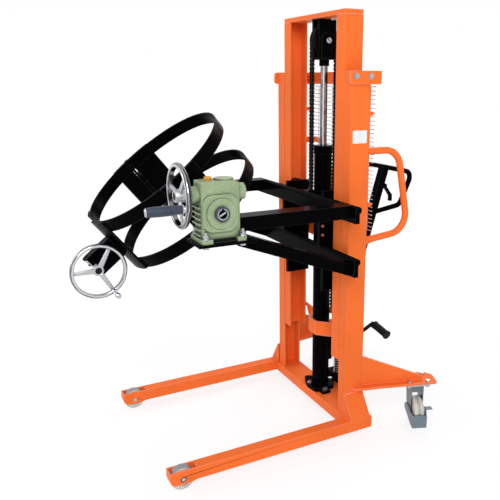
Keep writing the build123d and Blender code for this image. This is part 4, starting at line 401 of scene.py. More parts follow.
def reflection_banded_metal(name, shade, centre, axis, ring, reflection_bands, low, high):
    """Bright metal with a painted reflection: its colour runs in light and dark stripes round a bar, or round
    the section of a ring about an axis.
    """
    finish, tree, shader = new_finish(name)
    place = tree.nodes.new("ShaderNodeTexCoord")
    shift = tree.nodes.new("ShaderNodeMapping")
    shift.inputs["Location"].default_value = -Vector(centre)
    parts = tree.nodes.new("ShaderNodeSeparateXYZ")
    tree.links.new(place.outputs["Object"], shift.inputs["Vector"])
    tree.links.new(shift.outputs["Vector"], parts.inputs["Vector"])
    across = [parts.outputs[letter] for letter in "XYZ" if letter != axis[-1]]
    if ring:
        squares = [combine(tree, "MULTIPLY", part, part) for part in across]
        away = combine(tree, "POWER", combine(tree, "ADD", *squares), 0.5)
        front = combine(tree, "MULTIPLY", parts.outputs[axis[-1]], -1.0 if axis[0] == "-" else 1.0)
        turn = combine(tree, "ARCTAN2", front, combine(tree, "SUBTRACT", away, ring))
    else:
        turn = combine(tree, "ARCTAN2", across[1], across[0])
    share = combine(tree, "ADD", combine(tree, "DIVIDE", turn, 2 * pi), 0.5)
    marks = spread(tree, speckle(tree, 30, 3.0), -0.03, 0.03)
    # Stripes of tone round the section: a painted reflection of the studio
    stops = [(spot, toned(shade, level)) for spot, level in reflection_bands]
    tree.links.new(ramp(tree, combine(tree, "ADD", share, marks), stops), shader.inputs["Base Color"])
    tree.links.new(spread(tree, speckle(tree, 200, 4.0), low, high), shader.inputs["Roughness"])
    set_gloss(shader, 1.0)
    return finish


# Painted reflection in the colour of a polished rim round its section: share of the turn, and level
RIM_REFLECTION_BANDS = [(0.0, 0.55), (0.14, 0.30), (0.28, 0.05), (0.40, 0.30), (0.46, 0.06), (0.53, 0.12), (0.57, 1.1),
             (0.61, 0.10), (0.67, 0.45), (0.75, 1.3), (0.83, 0.60), (0.90, 0.25), (1.0, 0.55)]


def chrome_rod():
    """Hard chrome with a painted reflection of a bright studio and dark edges in its colour."""
    reflection_bands = [(0.0, 0.20), (0.17, 0.16), (0.26, 0.14), (0.33, 0.30), (0.39, 1.1), (0.46, 0.45), (0.53, 0.08),
             (0.61, 0.05), (0.68, 0.07), (1.0, 0.20)]
    return reflection_banded_metal("chrome_rod", colours().chrome, middle("piston_rod"), "+Z", 0.0, reflection_bands, 0.08, 0.20)


def tilt_rim():
    """Polished rim of the tilting wheel, with a painted reflection in its colour."""
    centre = Vector(JOINTS["worm_spin"]["pos_m"])
    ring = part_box("tilt_wheel")[1].z - centre.z - sizes().tilt_rim
    return reflection_banded_metal("tilt_rim", colours().alloy, centre, "-Y", ring, RIM_REFLECTION_BANDS, 0.08, 0.18)


def clamp_rim():
    """Polished rim of the clamp's wheel, with a painted reflection in its colour."""
    centre = Vector(JOINTS["clamp_wheel_spin"]["pos_m"])
    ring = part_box("clamp_wheel")[1].z - centre.z - sizes().clamp_rim
    return reflection_banded_metal("clamp_rim", colours().alloy, centre, "+X", ring, RIM_REFLECTION_BANDS, 0.08, 0.18)


def polished_wheel():
    """Polished alloy of the ferrules and knobs."""
    return metal("polished_wheel", colours().alloy, 0.10, 0.20, per_metre=60, bump=0.03, contrast=0.3)


def cast_alloy():
    """Unpolished spokes and hub of a hand-wheel."""
    shade = toned(colours().alloy, 0.92)
    return metal("cast_alloy", shade, 0.38, 0.55, per_metre=330, bump=0.3, contrast=0.2)


def zinc_steel():
    """Bright zinc plate."""
    return metal("zinc_steel", colours().steel, 0.24, 0.42, per_metre=140, bump=0.12, contrast=0.25)


def fork_steel():
    """Dull zinc of the casters' forks."""
    return metal("fork_steel", colours().fork, 0.30, 0.50, per_metre=120, bump=0.12, contrast=0.35)


def dark_steel():
    """Oiled steel of the chain, springs and rollers."""
    return metal("dark_steel", colours().oiled, 0.28, 0.48, per_metre=160, bump=0.2, contrast=0.35,
                 metallic=0.7)


def bronze():
    """Steel hollow shaft with the bronze rim of the worm wheel round it."""
    finish, tree, shader = new_finish("bronze")
    axis = Vector(JOINTS["tilt"]["pos_m"])
    wheel_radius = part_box("worm_gear")[1].z - axis.z
    shaft_radius = 0.6 * wheel_radius
    away = from_axis(tree, axis)
    rim = spread(tree, away, 0.0, 1.0, shaft_radius, 0.64 * wheel_radius)
    grain = speckle(tree, 190, 4.0)
    depth = combine(tree, "DIVIDE", away, shaft_radius)
    steel = ramp(tree, depth, [(0.66, linear(168, 171, 176)), (0.78, linear(140, 144, 150)),
                               (0.82, linear(58, 63, 74)), (0.98, linear(84, 90, 102))])
    copper = colours().bronze
    alloy = ramp(tree, grain, [(0.3, toned(copper, 0.8)), (0.7, toned(copper, 1.1))])
    tree.links.new(mix_colours(tree, rim, steel, alloy), shader.inputs["Base Color"])
    tree.links.new(spread(tree, grain, 0.24, 0.42), shader.inputs["Roughness"])
    set_gloss(shader, 1.0)
    relief(tree, shader, grain, 0.0004, 0.12)
    return finish


def moulded(name, shade, low, high, per_metre, bump, grime):
    """Moulded plastic with a little grime in its tone."""
    finish, tree, shader = new_finish(name)
    slow = speckle(tree, 24, 5.0)
    grain = speckle(tree, per_metre, 3.0)
    body = ramp(tree, slow, [(0.32, grime), (0.52, tuple(shade)), (0.72, toned(shade, 1.06))])
    # Edges are painted lighter: a painted highlight
    edge = edges(tree, 0.002)
    tree.links.new(mix_colours(tree, edge, body, toned(shade, 1.15)), shader.inputs["Base Color"])
    tree.links.new(spread(tree, grain, low, high), shader.inputs["Roughness"])
    set_gloss(shader, 0.0, 0.45)
    relief(tree, shader, grain, 0.0003, bump)
    return finish


def worn_nylon(name):
    """Nylon greyed by the floor, with its tree, its colour socket and the colour that goes into it."""
    shade = colours().nylon
    finish = moulded(name, shade, 0.34, 0.52, 300, 0.12, toned(shade, 0.74))
    tree = finish.node_tree
    shader = next(node for node in tree.nodes if node.type == "BSDF_PRINCIPLED")
    base = shader.inputs["Base Color"]
    return finish, tree, base, base.links[0].from_socket


def cream_nylon():
    """Nylon of the caster wheels, with painted shade in the groove."""
    finish, tree, base, clean = worn_nylon("cream_nylon")
    # The groove is darkened from ambient occlusion: painted shade
    unshaded_share = spread(tree, hollows(tree, 0.010), 0.0, 1.0, 0.45, 0.85)
    tree.links.new(mix_colours(tree, unshaded_share, toned(colours().nylon, 0.12), clean), base)
    return finish


def roller_nylon():
    """Nylon of the load rollers, grey where the floor wears their running face."""
    finish, tree, base, clean = worn_nylon("roller_nylon")
    axle = Vector(JOINTS["front_roller_spin_near"]["pos_m"])
    running = spread(tree, from_axis(tree, axle), 0.0, 1.0, axle.z - 0.003, axle.z - 0.001)
    tree.links.new(mix_colours(tree, running, clean, tuple(colours().tread)), base)
    return finish


def slide_nylon():
    """Machined nylon blocks that guide the inner mast."""
    shade = colours().nylon
    return moulded("slide_nylon", toned(shade, 0.85), 0.40, 0.60, 420, 0.25, toned(shade, 0.62))


def grip_plastic():
    """Moulded grip of the tilting wheel."""
    shade = colours().grip
    return moulded("grip_plastic", shade, 0.36, 0.52, 520, 0.2, toned(shade, 0.72))


def yellow_plastic():
    """Moulded breather plug."""
    shade = colours().yellow
    return moulded("yellow_plastic", shade, 0.28, 0.42, 300, 0.12, toned(shade, 0.8))


def red_plastic():
    """Moulded plug of the cylinder's foot."""
    shade = colours().red
    return moulded("red_plastic", shade, 0.28, 0.42, 300, 0.12, toned(shade, 0.7))


def label_film():
    """Blank film label."""
    shade = colours().label
    return moulded("label_film", shade, 0.30, 0.40, 200, 0.05, toned(shade, 0.95))


FINISHES = {maker.__name__: maker for maker in (
    orange_paint, black_paint, green_casting, chrome_rod, polished_wheel, zinc_steel, dark_steel, bronze,
    cream_nylon, grip_plastic, blue_grey_paint, white_wire, yellow_plastic, slide_nylon, pedal_black,
    cast_alloy, label_film, tilt_rim, clamp_rim, roller_nylon, red_plastic, fork_steel)}


def finish_named(name):
    """A finish, made once and then shared under a name of its own."""
    shared_name = "made_" + name
    finish = bpy.data.materials.get(shared_name)
    if finish is None:
        finish = FINISHES[name]()
        finish.name = shared_name
    return finish


# Mesh helpers

def facing(along):
    """A turn that lays the Z axis along a direction."""
    return Vector(along).to_track_quat("Z", "Y").to_matrix().to_4x4()


def placed(point, along=(0, 0, 1)):
    """A place at a point, with its Z axis along a direction."""
    return Matrix.Translation(point) @ facing(along)


def bar(shape, start, end, radius, sides):
    """A round bar between two points."""
    first = Vector(start)
    run = Vector(end) - first
    place = placed(first + run / 2, run)
    bmesh.ops.create_cone(shape, cap_ends=True, cap_tris=False, segments=sides, radius1=radius,
                          radius2=radius, depth=run.length, matrix=place)


def block(shape, low, high):
    """A box between two corners."""
    low, high = Vector(low), Vector(high)
    place = Matrix.Translation((low + high) / 2) @ Matrix.Diagonal((*(high - low), 1))
    return bmesh.ops.create_cube(shape, size=1, matrix=place)["verts"]


def round_off(shape, sharp, radius, segments):
    """Round the given edges of a bmesh."""
    bmesh.ops.bevel(shape, geom=sharp, offset=radius, segments=segments, profile=0.5, affect="EDGES",
                    material=-1)


def turned(profile, steps=48):
    """A mesh turned on the Z axis from its closed half outline of radius and height."""
    shape = bmesh.new()
    points = [shape.verts.new((radius, 0, height)) for radius, height in profile]
    outline = [shape.edges.new(pair) for pair in zip(points, points[1:] + points[:1])]
    bmesh.ops.spin(shape, geom=points + outline, cent=(0, 0, 0), axis=(0, 0, 1), angle=2 * pi,
                   steps=steps, use_merge=True)
    bmesh.ops.remove_doubles(shape, verts=shape.verts, dist=1e-6)
    bmesh.ops.recalc_face_normals(shape, faces=shape.faces)
    return mesh_from(shape, "turned")


def mesh_from(shape, name):
    """A mesh from a bmesh, which is then let go."""
    mesh = bpy.data.meshes.new(name)
    shape.to_mesh(mesh)
    shape.free()
    return mesh


def put(shape, unit, place):
    """A copy of a ready mesh at a place."""
    copy = unit.copy()
    copy.transform(place)
    shape.from_mesh(copy)
    bpy.data.meshes.remove(copy)


def add_piece(shape, name, finish, body=None, stands_for=(), smooth=35):
    """A finished piece from a bmesh, on its body and in its slot."""
    bmesh.ops.remove_doubles(shape, verts=shape.verts, dist=1e-6)
    bmesh.ops.recalc_face_normals(shape, faces=shape.faces)
    mesh = mesh_from(shape, name)
    mesh.polygons.foreach_set("use_smooth", [True] * len(mesh.polygons))
    mesh.set_sharp_from_angle(angle=radians(smooth))
    mesh.materials.append(finish_named(finish))
    piece = bpy.data.objects.new(name, mesh)
    bpy.context.scene.collection.objects.link(piece)
    if stands_for:
        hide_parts(*stands_for)
    if body:
        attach(piece, body)
    return piece


# Operators

class STACKER_OT_paintwork(bpy.types.Operator):
    """Give every piece of the frame its finish and round its edges"""
    bl_idname = "stacker.paintwork"
    bl_label = "Paintwork"

    # Slots whose edges are rounded, and nodes with a finish other than their slot's
    rounded = ("orange_paint", "black_paint", "blue_grey_paint")
    special = {"front_roller": "roller_nylon", "caster_fork": "fork_steel"}

    def execute(self, context):
        for part in frame["record"]["subparts"]:
            node = frame["nodes"][part["node"]]
            slot = part["material_slot"]
            special = [finish for start, finish in self.special.items() if part["node"].startswith(start)]
            finish = special[0] if special else slot
            for place in node.material_slots:
                place.material = finish_named(finish)
            if slot in self.rounded:
                self.round_edges(node, sizes().edge_round)
        return {"FINISHED"}

    def round_edges(self, node, radius):
        """Small rounds on a node's sharp edges, over its joined triangles."""
        weld = node.modifiers.new("joined", "WELD")
        weld.merge_threshold = 1e-5
        edge = node.modifiers.new("edge_round", "BEVEL")
        edge.width = radius
        edge.segments = 2
        edge.limit_method = "ANGLE"
        edge.angle_limit = radians(40)
        shading = node.modifiers.new("shading", "WEIGHTED_NORMAL")
        shading.keep_sharp = True


class STACKER_OT_chain(bpy.types.Operator):
    """Roller chain over the wheel and down the front and back of the ram"""
    bl_idname = "stacker.chain"
    bl_label = "Lifting chain"

    # From the chain's middle to its inner and outer plates, and a plate's half sizes at its ends and waist
    inner_reach = 0.0062
    outer_reach = 0.0083
    end_half = 0.0088
    end_tall = 0.0058
    waist_half = 0.0044
    plate_sides = 16
    pin_radius = 0.0026
    pin_proud = 0.0011

    def execute(self, context):
        wheel = middle("sheave")
        self.wrap(wheel, self.pitch_radius())
        self.strand("chain_front", "inner_mast", "carriage", wheel.z)
        self.strand("chain_rear", "inner_mast", "chassis", wheel.z)
        return {"FINISHED"}

    def pitch_radius(self):
        """From the wheel's middle to the middle of the chain."""
        return middle("chain_rear").y - middle("sheave").y

    def link(self, pitch, inner):
        """One link from a pin at the origin up the Z axis: two waisted plates, with rollers or pins."""
        plate = sizes().chain_plate
        shape = bmesh.new()
        reach = self.inner_reach if inner else self.outer_reach
        outline = []
        for number in range(self.plate_sides):
            angle = 2 * pi * number / self.plate_sides
            at_waist = number % (self.plate_sides // 2) == 0
            half = self.waist_half if at_waist else self.end_half
            end = pitch if sin(angle) > 0 else 0.0
            height = pitch / 2 if at_waist else end + sin(angle) * self.end_tall
            outline.append((cos(angle) * half, height))
        for side in SIDES.values():
            points = [shape.verts.new((side * reach, y, z)) for y, z in outline]
            face = shape.faces.new(points)
            rim = bmesh.ops.extrude_face_region(shape, geom=[face])["geom"]
            moved = [each for each in rim if isinstance(each, bmesh.types.BMVert)]
            bmesh.ops.translate(shape, verts=moved, vec=(side * plate, 0, 0))
        tip = reach if inner else reach + plate + self.pin_proud
        radius, sides = (sizes().chain_roller, 10) if inner else (self.pin_radius, 8)
        for height in (0.0, pitch):
            bar(shape, (-tip, 0, height), (tip, 0, height), radius, sides)
        return mesh_from(shape, "link")

    def strand(self, node, top_body, low_body, top):
        """A straight run of chain that follows the bodies at its two ends."""
        low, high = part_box(node)
        centre = (low + high) / 2
        count = round((top - low.z) / sizes().chain_pitch)
        pitch = (top - low.z) / count
        units = [self.link(pitch, inner) for inner in (True, False)]
        shape = bmesh.new()
        for number in range(count):
            place = Matrix.Translation((centre.x, centre.y, low.z + number * pitch))
            put(shape, units[number % 2], place)
        piece = add_piece(shape, node + "_links", "dark_steel", stands_for=(node,))
        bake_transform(piece)

    def wrap(self, wheel, radius):
        """The half turn of chain over the wheel."""
        count = round(pi * radius / sizes().chain_pitch)
        step = pi / count
        pitch = 2 * radius * sin(step / 2)
        units = [self.link(pitch, inner) for inner in (True, False)]
        shape = bmesh.new()
        for number in range(count):
            angle = number * step
            pin = Vector((0, -cos(angle), sin(angle))) * radius
            lean = Matrix.Rotation(-angle - step / 2, 4, "X")
            put(shape, units[number % 2], Matrix.Translation(wheel + pin) @ lean)
        add_piece(shape, "chain_wrap_links", "dark_steel", "inner_mast", ("chain_wrap",))


class STACKER_OT_mesh_guard(bpy.types.Operator):
    """Welded wire guard behind the mast, with its clips"""
    bl_idname = "stacker.mesh_guard"
    bl_label = "Wire guard"

    # Wires begin so far above the channel, and the upright ones so far in from the sides
    above_channel = 0.047
    side_inset = 0.034
    # Millimetres from the mast's middle
    post_x = 206
    clip_x = 257
    clip_heights = (1346, 980)

    def execute(self, context):
        low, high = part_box("mesh_guard")
        self.wires(low, high)
        self.clips(low, high)
        return {"FINISHED"}

    def wires(self, low, high):
        """Wires across and up the guard, and the two posts that it stands on."""
        wire = sizes().wire
        columns = sizes().wire_columns
        rows = sizes().wire_rows
        start = max(low.z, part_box("mast_rear_channel")[1].z + self.above_channel)
        inset = self.side_inset
        shape = bmesh.new()
        for number in range(rows):
            z = start + (high.z - wire - start) * number / (rows - 1)
            bar(shape, (low.x, low.y + wire, z), (high.x, low.y + wire, z), wire, 8)
        for number in range(columns):
            x = low.x + inset + (high.x - low.x - 2 * inset) * number / (columns - 1)
            bar(shape, (x, high.y - wire, start - wire), (x, high.y - wire, high.z), wire, 8)
        for side in SIDES.values():
            x = on_mast(side * self.post_x, 0, 0).x
            bar(shape, (x, high.y - wire, low.z), (x, high.y - wire, start), 2 * wire, 10)
        add_piece(shape, "guard_wires", "white_wire", "chassis", ("mesh_guard",))

    def clips(self, low, high):
        """Clips that reach from the mast's rear face over the wires."""
        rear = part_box("outer_mast_near")[1].y
        stem = (0.006, 0.008, rear, low.y - 0.005)
        tongue = (0.003, 0.004, low.y - 0.006, high.y)
        shape = bmesh.new()
        for side in SIDES.values():
            for height in self.clip_heights:
                spot = on_mast(side * self.clip_x, 0, height)
                for half, tall, start, end in (stem, tongue):
                    block(shape, (spot.x - half, start, spot.z - tall), (spot.x + half, end, spot.z + tall))
        round_off(shape, shape.edges, 0.001, 2)
        add_piece(shape, "guard_clips", "orange_paint", "chassis")


class STACKER_OT_pump_spring(bpy.types.Operator):
    """Return spring round the pump's plunger"""
    bl_idname = "stacker.pump_spring"
    bl_label = "Pump spring"

    def execute(self, context):
        low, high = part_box("pump_spring")
        wire = sizes().spring_wire
        turns = sizes().spring_turns
        radius = (high.x - low.x) / 2 - wire
        centre = (low + high) / 2
        steps_per_turn = 28
        steps = steps_per_turn * turns
        rise = (high.z - low.z - 2 * wire) / steps
        shape = bmesh.new()
        place = Matrix.Translation((centre.x + radius, centre.y, low.z + wire)) @ facing((0, 1, 0))
        ring = bmesh.ops.create_circle(shape, cap_ends=True, segments=10, radius=wire, matrix=place)
        geom = ring["verts"] + list(shape.edges) + list(shape.faces)
        bmesh.ops.spin(shape, geom=geom, cent=centre, axis=(0, 0, 1), dvec=(0, 0, rise),
                       angle=2 * pi * turns, steps=steps)
        piece = add_piece(shape, "pump_spring_coil", "zinc_steel", stands_for=("pump_spring",))
        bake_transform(piece)
        return {"FINISHED"}


class STACKER_OT_hand_wheels(bpy.types.Operator):
    """Polished hand-wheels of the tilting gear and of the clamp's screw"""
    bl_idname = "stacker.hand_wheels"
    bl_label = "Hand-wheels"

    # A spoke's start, its half widths at hub and rim, and its half thickness
    spoke_start = 0.014
    spoke_root = 0.0095
    spoke_tip = 0.0066
    spoke_thick = 0.0048

    def execute(self, context):
        self.tilt_wheel()
        self.clamp_wheel()
        return {"FINISHED"}

    def rim(self, ring, radius):
        """A rim that is round outside and flattened inside."""
        points = []
        for number in range(20):
            angle = 2 * pi * number / 20
            across = cos(angle) * radius
            points.append((ring + max(across, -0.6 * radius), sin(angle) * radius))
        return turned(points, 72)

    def spoke(self, ring):
        """A flat spoke along X that narrows to the rim."""
        shape = bmesh.new()
        root, thick = self.spoke_root, self.spoke_thick
        for point in block(shape, (self.spoke_start, -root, -thick), (ring, root, thick)):
            if point.co.x > ring / 2:
                point.co.y *= self.spoke_tip / root
                point.co.z *= 0.8
        round_off(shape, shape.edges, thick * 0.55, 3)
        return mesh_from(shape, "spoke")

    def wheel(self, name, node, body, finish, place, ring, radius, first, dish, hub, extra):
        """A wheel with three spokes about the Z axis of a place, and its own extra turned forms."""
        shape = bmesh.new()
        put(shape, self.rim(ring, radius), place)
        spoke = self.spoke(ring - radius * 0.5)
        for number in range(3):
            turn = Matrix.Rotation(radians(first + 120 * number), 4, "Z")
            put(shape, spoke, place @ turn @ Matrix.Translation((0, 0, dish)))
        put(shape, turned(hub), place)
        for profile, spot in extra:
            put(shape, turned(profile, 32), place @ spot)
        piece = add_piece(shape, name, "cast_alloy", body, (node,))
        piece.data.materials.append(finish_named(finish))
        piece.data.materials.append(finish_named("polished_wheel"))
        back = place.inverted()
        for face in piece.data.polygons:
            spot = back @ face.center
            away = Vector((spot.x, spot.y)).length
            if spot.z > 1.3 * radius and away > ring / 2:
                face.material_index = 2
            elif away > ring - 0.62 * radius:
                face.material_index = 1

    def tilt_wheel(self):
        joint = JOINTS["worm_spin"]
        place = Matrix.Translation(joint["pos_m"]) @ Matrix.Rotation(radians(90), 4, "X")
        low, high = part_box("tilt_wheel")
        radius = sizes().tilt_rim
        ring = (high.x - low.x) / 2 - radius
        grip = Vector(JOINTS["tilt_grip_spin"]["pos_m"])
        angle = -15
        shaft = 0.0127
        hub = [(shaft, -0.018), (0.020, -0.018), (0.022, -0.016), (0.022, 0.012), (0.020, 0.016),
               (shaft, 0.016)]
        reach = place.inverted() @ Vector((grip.x, low.y, grip.z))
        pin = [(0, -0.002), (0.010, -0.002), (0.010, 0.012), (0.0085, 0.018), (0.006, 0.0182),
               (0.006, reach.z), (0, reach.z)]
        spot = Matrix.Rotation(radians(angle), 4, "Z") @ Matrix.Translation((ring, 0, 0))
        self.wheel("tilt_wheel_casting", "tilt_wheel", "worm", "tilt_rim", place, ring, radius,
                   first=angle + 60, dish=0.0, hub=hub, extra=[(pin, spot)])

    def clamp_wheel(self):
        joint = JOINTS["clamp_wheel_spin"]
        turn = Matrix(((0, 0, 1), (1, 0, 0), (0, 1, 0))).to_4x4()
        place = Matrix.Translation(joint["pos_m"]) @ turn
        low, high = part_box("clamp_wheel")
        radius = sizes().clamp_rim
        ring = (high.y - low.y) / 2 - radius
        angle = -59
        bore = 0.0083
        hub = [(bore, -0.043), (0.014, -0.043), (0.014, -0.028), (0.018, -0.028), (0.020, -0.026),
               (0.020, -0.006), (0.0175, -0.003), (0.0125, -0.003), (0.0115, -0.005), (bore, -0.005)]
        end = high.x - joint["pos_m"][0]
        handle = [(0, 0), (0.0075, 0.002), (0.0085, 0.012), (0.0062, 0.016), (0.0060, 0.022), (0.0080, 0.032),
                  (0.0100, 0.056), (0.0105, end - 0.008), (0.0085, end - 0.002), (0.0050, end), (0, end)]
        spot = Matrix.Rotation(radians(angle), 4, "Z") @ Matrix.Translation((ring, 0, 0))
        self.wheel("clamp_wheel_casting", "clamp_wheel", "clamp_wheel", "clamp_rim", place, ring, radius,
                   first=angle, dish=-0.007, hub=hub, extra=[(handle, spot)])
        shape = bmesh.new()
        cap = [(0, -0.0064), (0.0114, -0.0064), (0.0114, -0.0038), (0.0098, -0.0030), (0, -0.0028)]
        put(shape, turned(cap, 28), place)
        add_piece(shape, "clamp_hub_cap", "dark_steel", "clamp_wheel")


class STACKER_OT_fittings(bpy.types.Operator):
    """Ferrules, washers, pin ends, threads and the blank label"""
    bl_idname = "stacker.fittings"
    bl_label = "Fittings"

    # Places in millimetres from the mast's middle on the floor
    bridge_bolt_y = (-32, 34.5)
    bridge_bolt_z = 1488
    stud_x = (376, 476)
    stud_y = (-707, -577)
    stud_z = 972
    plug_spot = (-3, -39, 101.5)
    top_bolt = (78, 12, 1706)
    pedal_knee = (100, 239, 377)
    pedal_end = (200, 247, 353)
    gap_low = (471, -684, 958.5)
    gap_high = (471.6, -600, 971)
    label_low = (0, -36, 1237)
    label_high = (0, 29, 1286)

    def execute(self, context):
        self.grip_ferrules()
        self.axle_ends()
        self.washers()
        self.gearbox_studs()
        self.shaft_end()
        self.screw_thread()
        self.foot_plug()
        self.top_bolts()
        self.pedal_rubber()
        self.roller_axles()
        self.foot_gap()
        self.label()
        return {"FINISHED"}

    def grip_ferrules(self):
        low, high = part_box("tilt_grip")
        centre = (low + high) / 2
        shape = bmesh.new()
        ring = turned([(0.0066, 0), (0.0150, 0), (0.0156, 0.0012), (0.0156, 0.0055), (0.0066, 0.0055)], 32)
        cap = turned([(0, 0), (0.0100, 0), (0.0125, 0.0015), (0.0138, 0.0035), (0.0140, 0.006), (0, 0.006)],
                     32)
        put(shape, ring, placed((centre.x, high.y + 0.0002, centre.z), (0, -1, 0)))
        put(shape, cap, placed((centre.x, low.y - 0.0025, centre.z), (0, 1, 0)))
        add_piece(shape, "tilt_grip_ferrules", "polished_wheel", "tilt_grip")

    def axle_ends(self):
        """Bright slotted ends of the chain wheel's axle, each with a thin black sheet across it as painted
        shade for its slot.
        """
        wheel = middle("sheave")
        low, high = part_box("crosshead")
        heads = bmesh.new()
        slot_shades = bmesh.new()
        head = turned([(0, 0), (0.0118, 0), (0.0118, 0.0030), (0.0105, 0.0045), (0, 0.0045)], 32)
        slot_size = Matrix.Diagonal((0.0006, 0.0030, 0.0200, 1))
        lean = Matrix.Rotation(radians(40), 4, "X")
        for side, face in ((1, high.x), (-1, low.x)):
            put(heads, head, placed((face - side * 0.0008, wheel.y, wheel.z), (side, 0, 0)))
            spot = Matrix.Translation((face + side * 0.0036, wheel.y, wheel.z))
            # A thin black sheet stands for the slot: painted shade
            bmesh.ops.create_cube(slot_shades, size=1, matrix=spot @ lean @ slot_size)
        add_piece(heads, "axle_ends", "zinc_steel", "inner_mast")
        add_piece(slot_shades, "axle_slot_shades", "black_paint", "inner_mast")

    def washers(self):
        """Washers under the bridge's bolts."""
        shape = bmesh.new()
        ring = turned([(0.0062, 0), (0.0112, 0), (0.0118, 0.0006), (0.0118, 0.0018), (0.0062, 0.0018)], 28)
        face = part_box("mast_top_bridge")
        for side, x in ((1, face[1].x), (-1, face[0].x)):
            for y in self.bridge_bolt_y:
                spot = on_mast(0, y, self.bridge_bolt_z)
                put(shape, ring, placed((x - side * 0.0001, spot.y, spot.z), (side, 0, 0)))
        add_piece(shape, "bridge_washers", "zinc_steel", "chassis")

    def gearbox_studs(self):
        """Washers, lock-nuts and stud ends on the gearbox's feet."""
        shape = bmesh.new()
        washer = turned([(0.0062, 0), (0.0125, 0), (0.0130, 0.0006), (0.0130, 0.0022), (0.0062, 0.0022)], 28)
        for x in self.stud_x:
            for y in self.stud_y:
                foot = on_mast(x, y, self.stud_z)
                put(shape, washer, Matrix.Translation(foot))
                bar(shape, foot + Vector((0, 0, 0.0093)), foot + Vector((0, 0, 0.0155)), 0.0095, 6)
                bar(shape, foot + Vector((0, 0, 0.0140)), foot + Vector((0, 0, 0.0245)), 0.0056, 16)
        add_piece(shape, "gearbox_studs", "zinc_steel", "carriage")

    def shaft_end(self):
        """Dark end of the clamp's trunnion in the hollow shaft, with its key."""
        axis = Vector(JOINTS["tilt"]["pos_m"])
        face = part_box("clamp_frame")[1].x
        dark = bmesh.new()
        disc = turned([(0, 0), (0.0146, 0), (0.0146, 0.0008), (0, 0.0008)], 32)
        put(dark, disc, placed((face, axis.y, axis.z), (1, 0, 0)))
        add_piece(dark, "trunnion_face", "black_paint", "clamp")
        shape = bmesh.new()
        lean = Matrix.Translation((face + 0.0016, axis.y, axis.z)) @ Matrix.Rotation(radians(28), 4, "X")
        bmesh.ops.create_cube(shape, size=1, matrix=lean @ Matrix.Diagonal((0.0022, 0.0230, 0.0058, 1)))
        add_piece(shape, "trunnion_key", "zinc_steel", "clamp")

    def screw_thread(self):
        """Thread along the clamp's screw, as rings."""
        spot = Vector(JOINTS["clamp_wheel_spin"]["pos_m"])
        turns, pitch = 34, 0.0025
        bore, root, crest = 0.0062, 0.0080, 0.0090
        start = MAST.x - 0.055
        profile = [(bore, 0.0)]
        for number in range(turns):
            profile += [(root, pitch * number), (crest, pitch * number + pitch / 2)]
        profile += [(root, pitch * turns), (bore, pitch * turns)]
        shape = bmesh.new()
        put(shape, turned(profile, 24), placed((start, spot.y, spot.z), (1, 0, 0)))
        add_piece(shape, "clamp_screw_thread", "zinc_steel", "screw")

    def foot_plug(self):
        """Red plug on the cylinder's foot."""
        shape = bmesh.new()
        put(shape, turned([(0, 0), (0.0070, 0), (0.0070, 0.003), (0.0045, 0.0055), (0, 0.006)], 24),
            Matrix.Translation(on_mast(*self.plug_spot)))
        add_piece(shape, "foot_plug", "red_plastic", "chassis")

    def top_bolts(self):
        """Bolt heads under the inner mast's top plate."""
        shape = bmesh.new()
        x, y, z = self.top_bolt
        for side in SIDES.values():
            head = on_mast(side * x, y, z)
            bar(shape, head, head + Vector((0, 0, 0.0091)), 0.0110, 6)
        add_piece(shape, "top_plate_bolts", "zinc_steel", "inner_mast")

    def pedal_rubber(self):
        """Ribbed rubber grip of the foot pedal, open at its end."""
        knee = on_mast(*self.pedal_knee)
        run = on_mast(*self.pedal_end) - knee
        reach = run.length
        bore, valley, rib, flange = 0.0090, 0.0164, 0.0176, 0.0206
        profile = [(bore, 0.14 * reach), (0.0172, 0.14 * reach)]
        for number in range(11):
            start = (0.2 + 0.065 * number) * reach
            profile += [(valley, start), (rib, start + 0.0012)]
            profile += [(rib, start + 0.0036), (valley, start + 0.0048)]
        profile += [(0.0204, 0.945 * reach), (flange, 1.01 * reach), (0.0150, 1.01 * reach),
                    (0.0150, 1.001 * reach), (bore, 1.001 * reach)]
        shape = bmesh.new()
        put(shape, turned(profile, 32), placed(knee, run))
        add_piece(shape, "pedal_rubber", "pedal_black", "pedal")

    def roller_axles(self):
        """Dark rings and bolt heads in the pockets at the ends of the legs."""
        rings = bmesh.new()
        heads = bmesh.new()
        ring = turned([(0.0072, 0), (0.0116, 0), (0.0116, 0.0009), (0.0072, 0.0009)], 32)
        head = turned([(0, 0), (0.0080, 0), (0.0080, 0.0022), (0.0060, 0.0034), (0, 0.0036)], 28)
        for name, side in SIDES.items():
            axle = Vector(JOINTS["front_roller_spin_" + name]["pos_m"])
            low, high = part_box("leg_" + name)
            face = (high if side > 0 else low).x - side * 0.0030
            place = placed((face, axle.y, axle.z), (side, 0, 0))
            put(rings, ring, place)
            put(heads, head, place)
        add_piece(rings, "axle_pocket_rings", "dark_steel", "chassis")
        add_piece(heads, "axle_bolt_heads", "zinc_steel", "chassis")

    def foot_gap(self):
        """A thin dark sheet of painted shadow under the gearbox, between its front feet."""
        shape = bmesh.new()
        block(shape, on_mast(*self.gap_low), on_mast(*self.gap_high))
        add_piece(shape, "gearbox_gap_shadow", "dark_steel", "carriage")

    def label(self):
        """A blank label on the near side of the mast."""
        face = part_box("outer_mast_near")[1].x
        low = on_mast(*self.label_low)
        high = on_mast(*self.label_high)
        shape = bmesh.new()
        block(shape, (face - 0.0002, low.y, low.z), (face + 0.0004, high.y, high.z))
        upright = [edge for edge in shape.edges if abs(edge.verts[0].co.x - edge.verts[1].co.x) > 1e-4]
        round_off(shape, upright, 0.003, 4)
        add_piece(shape, "blank_label", "label_film", "chassis")


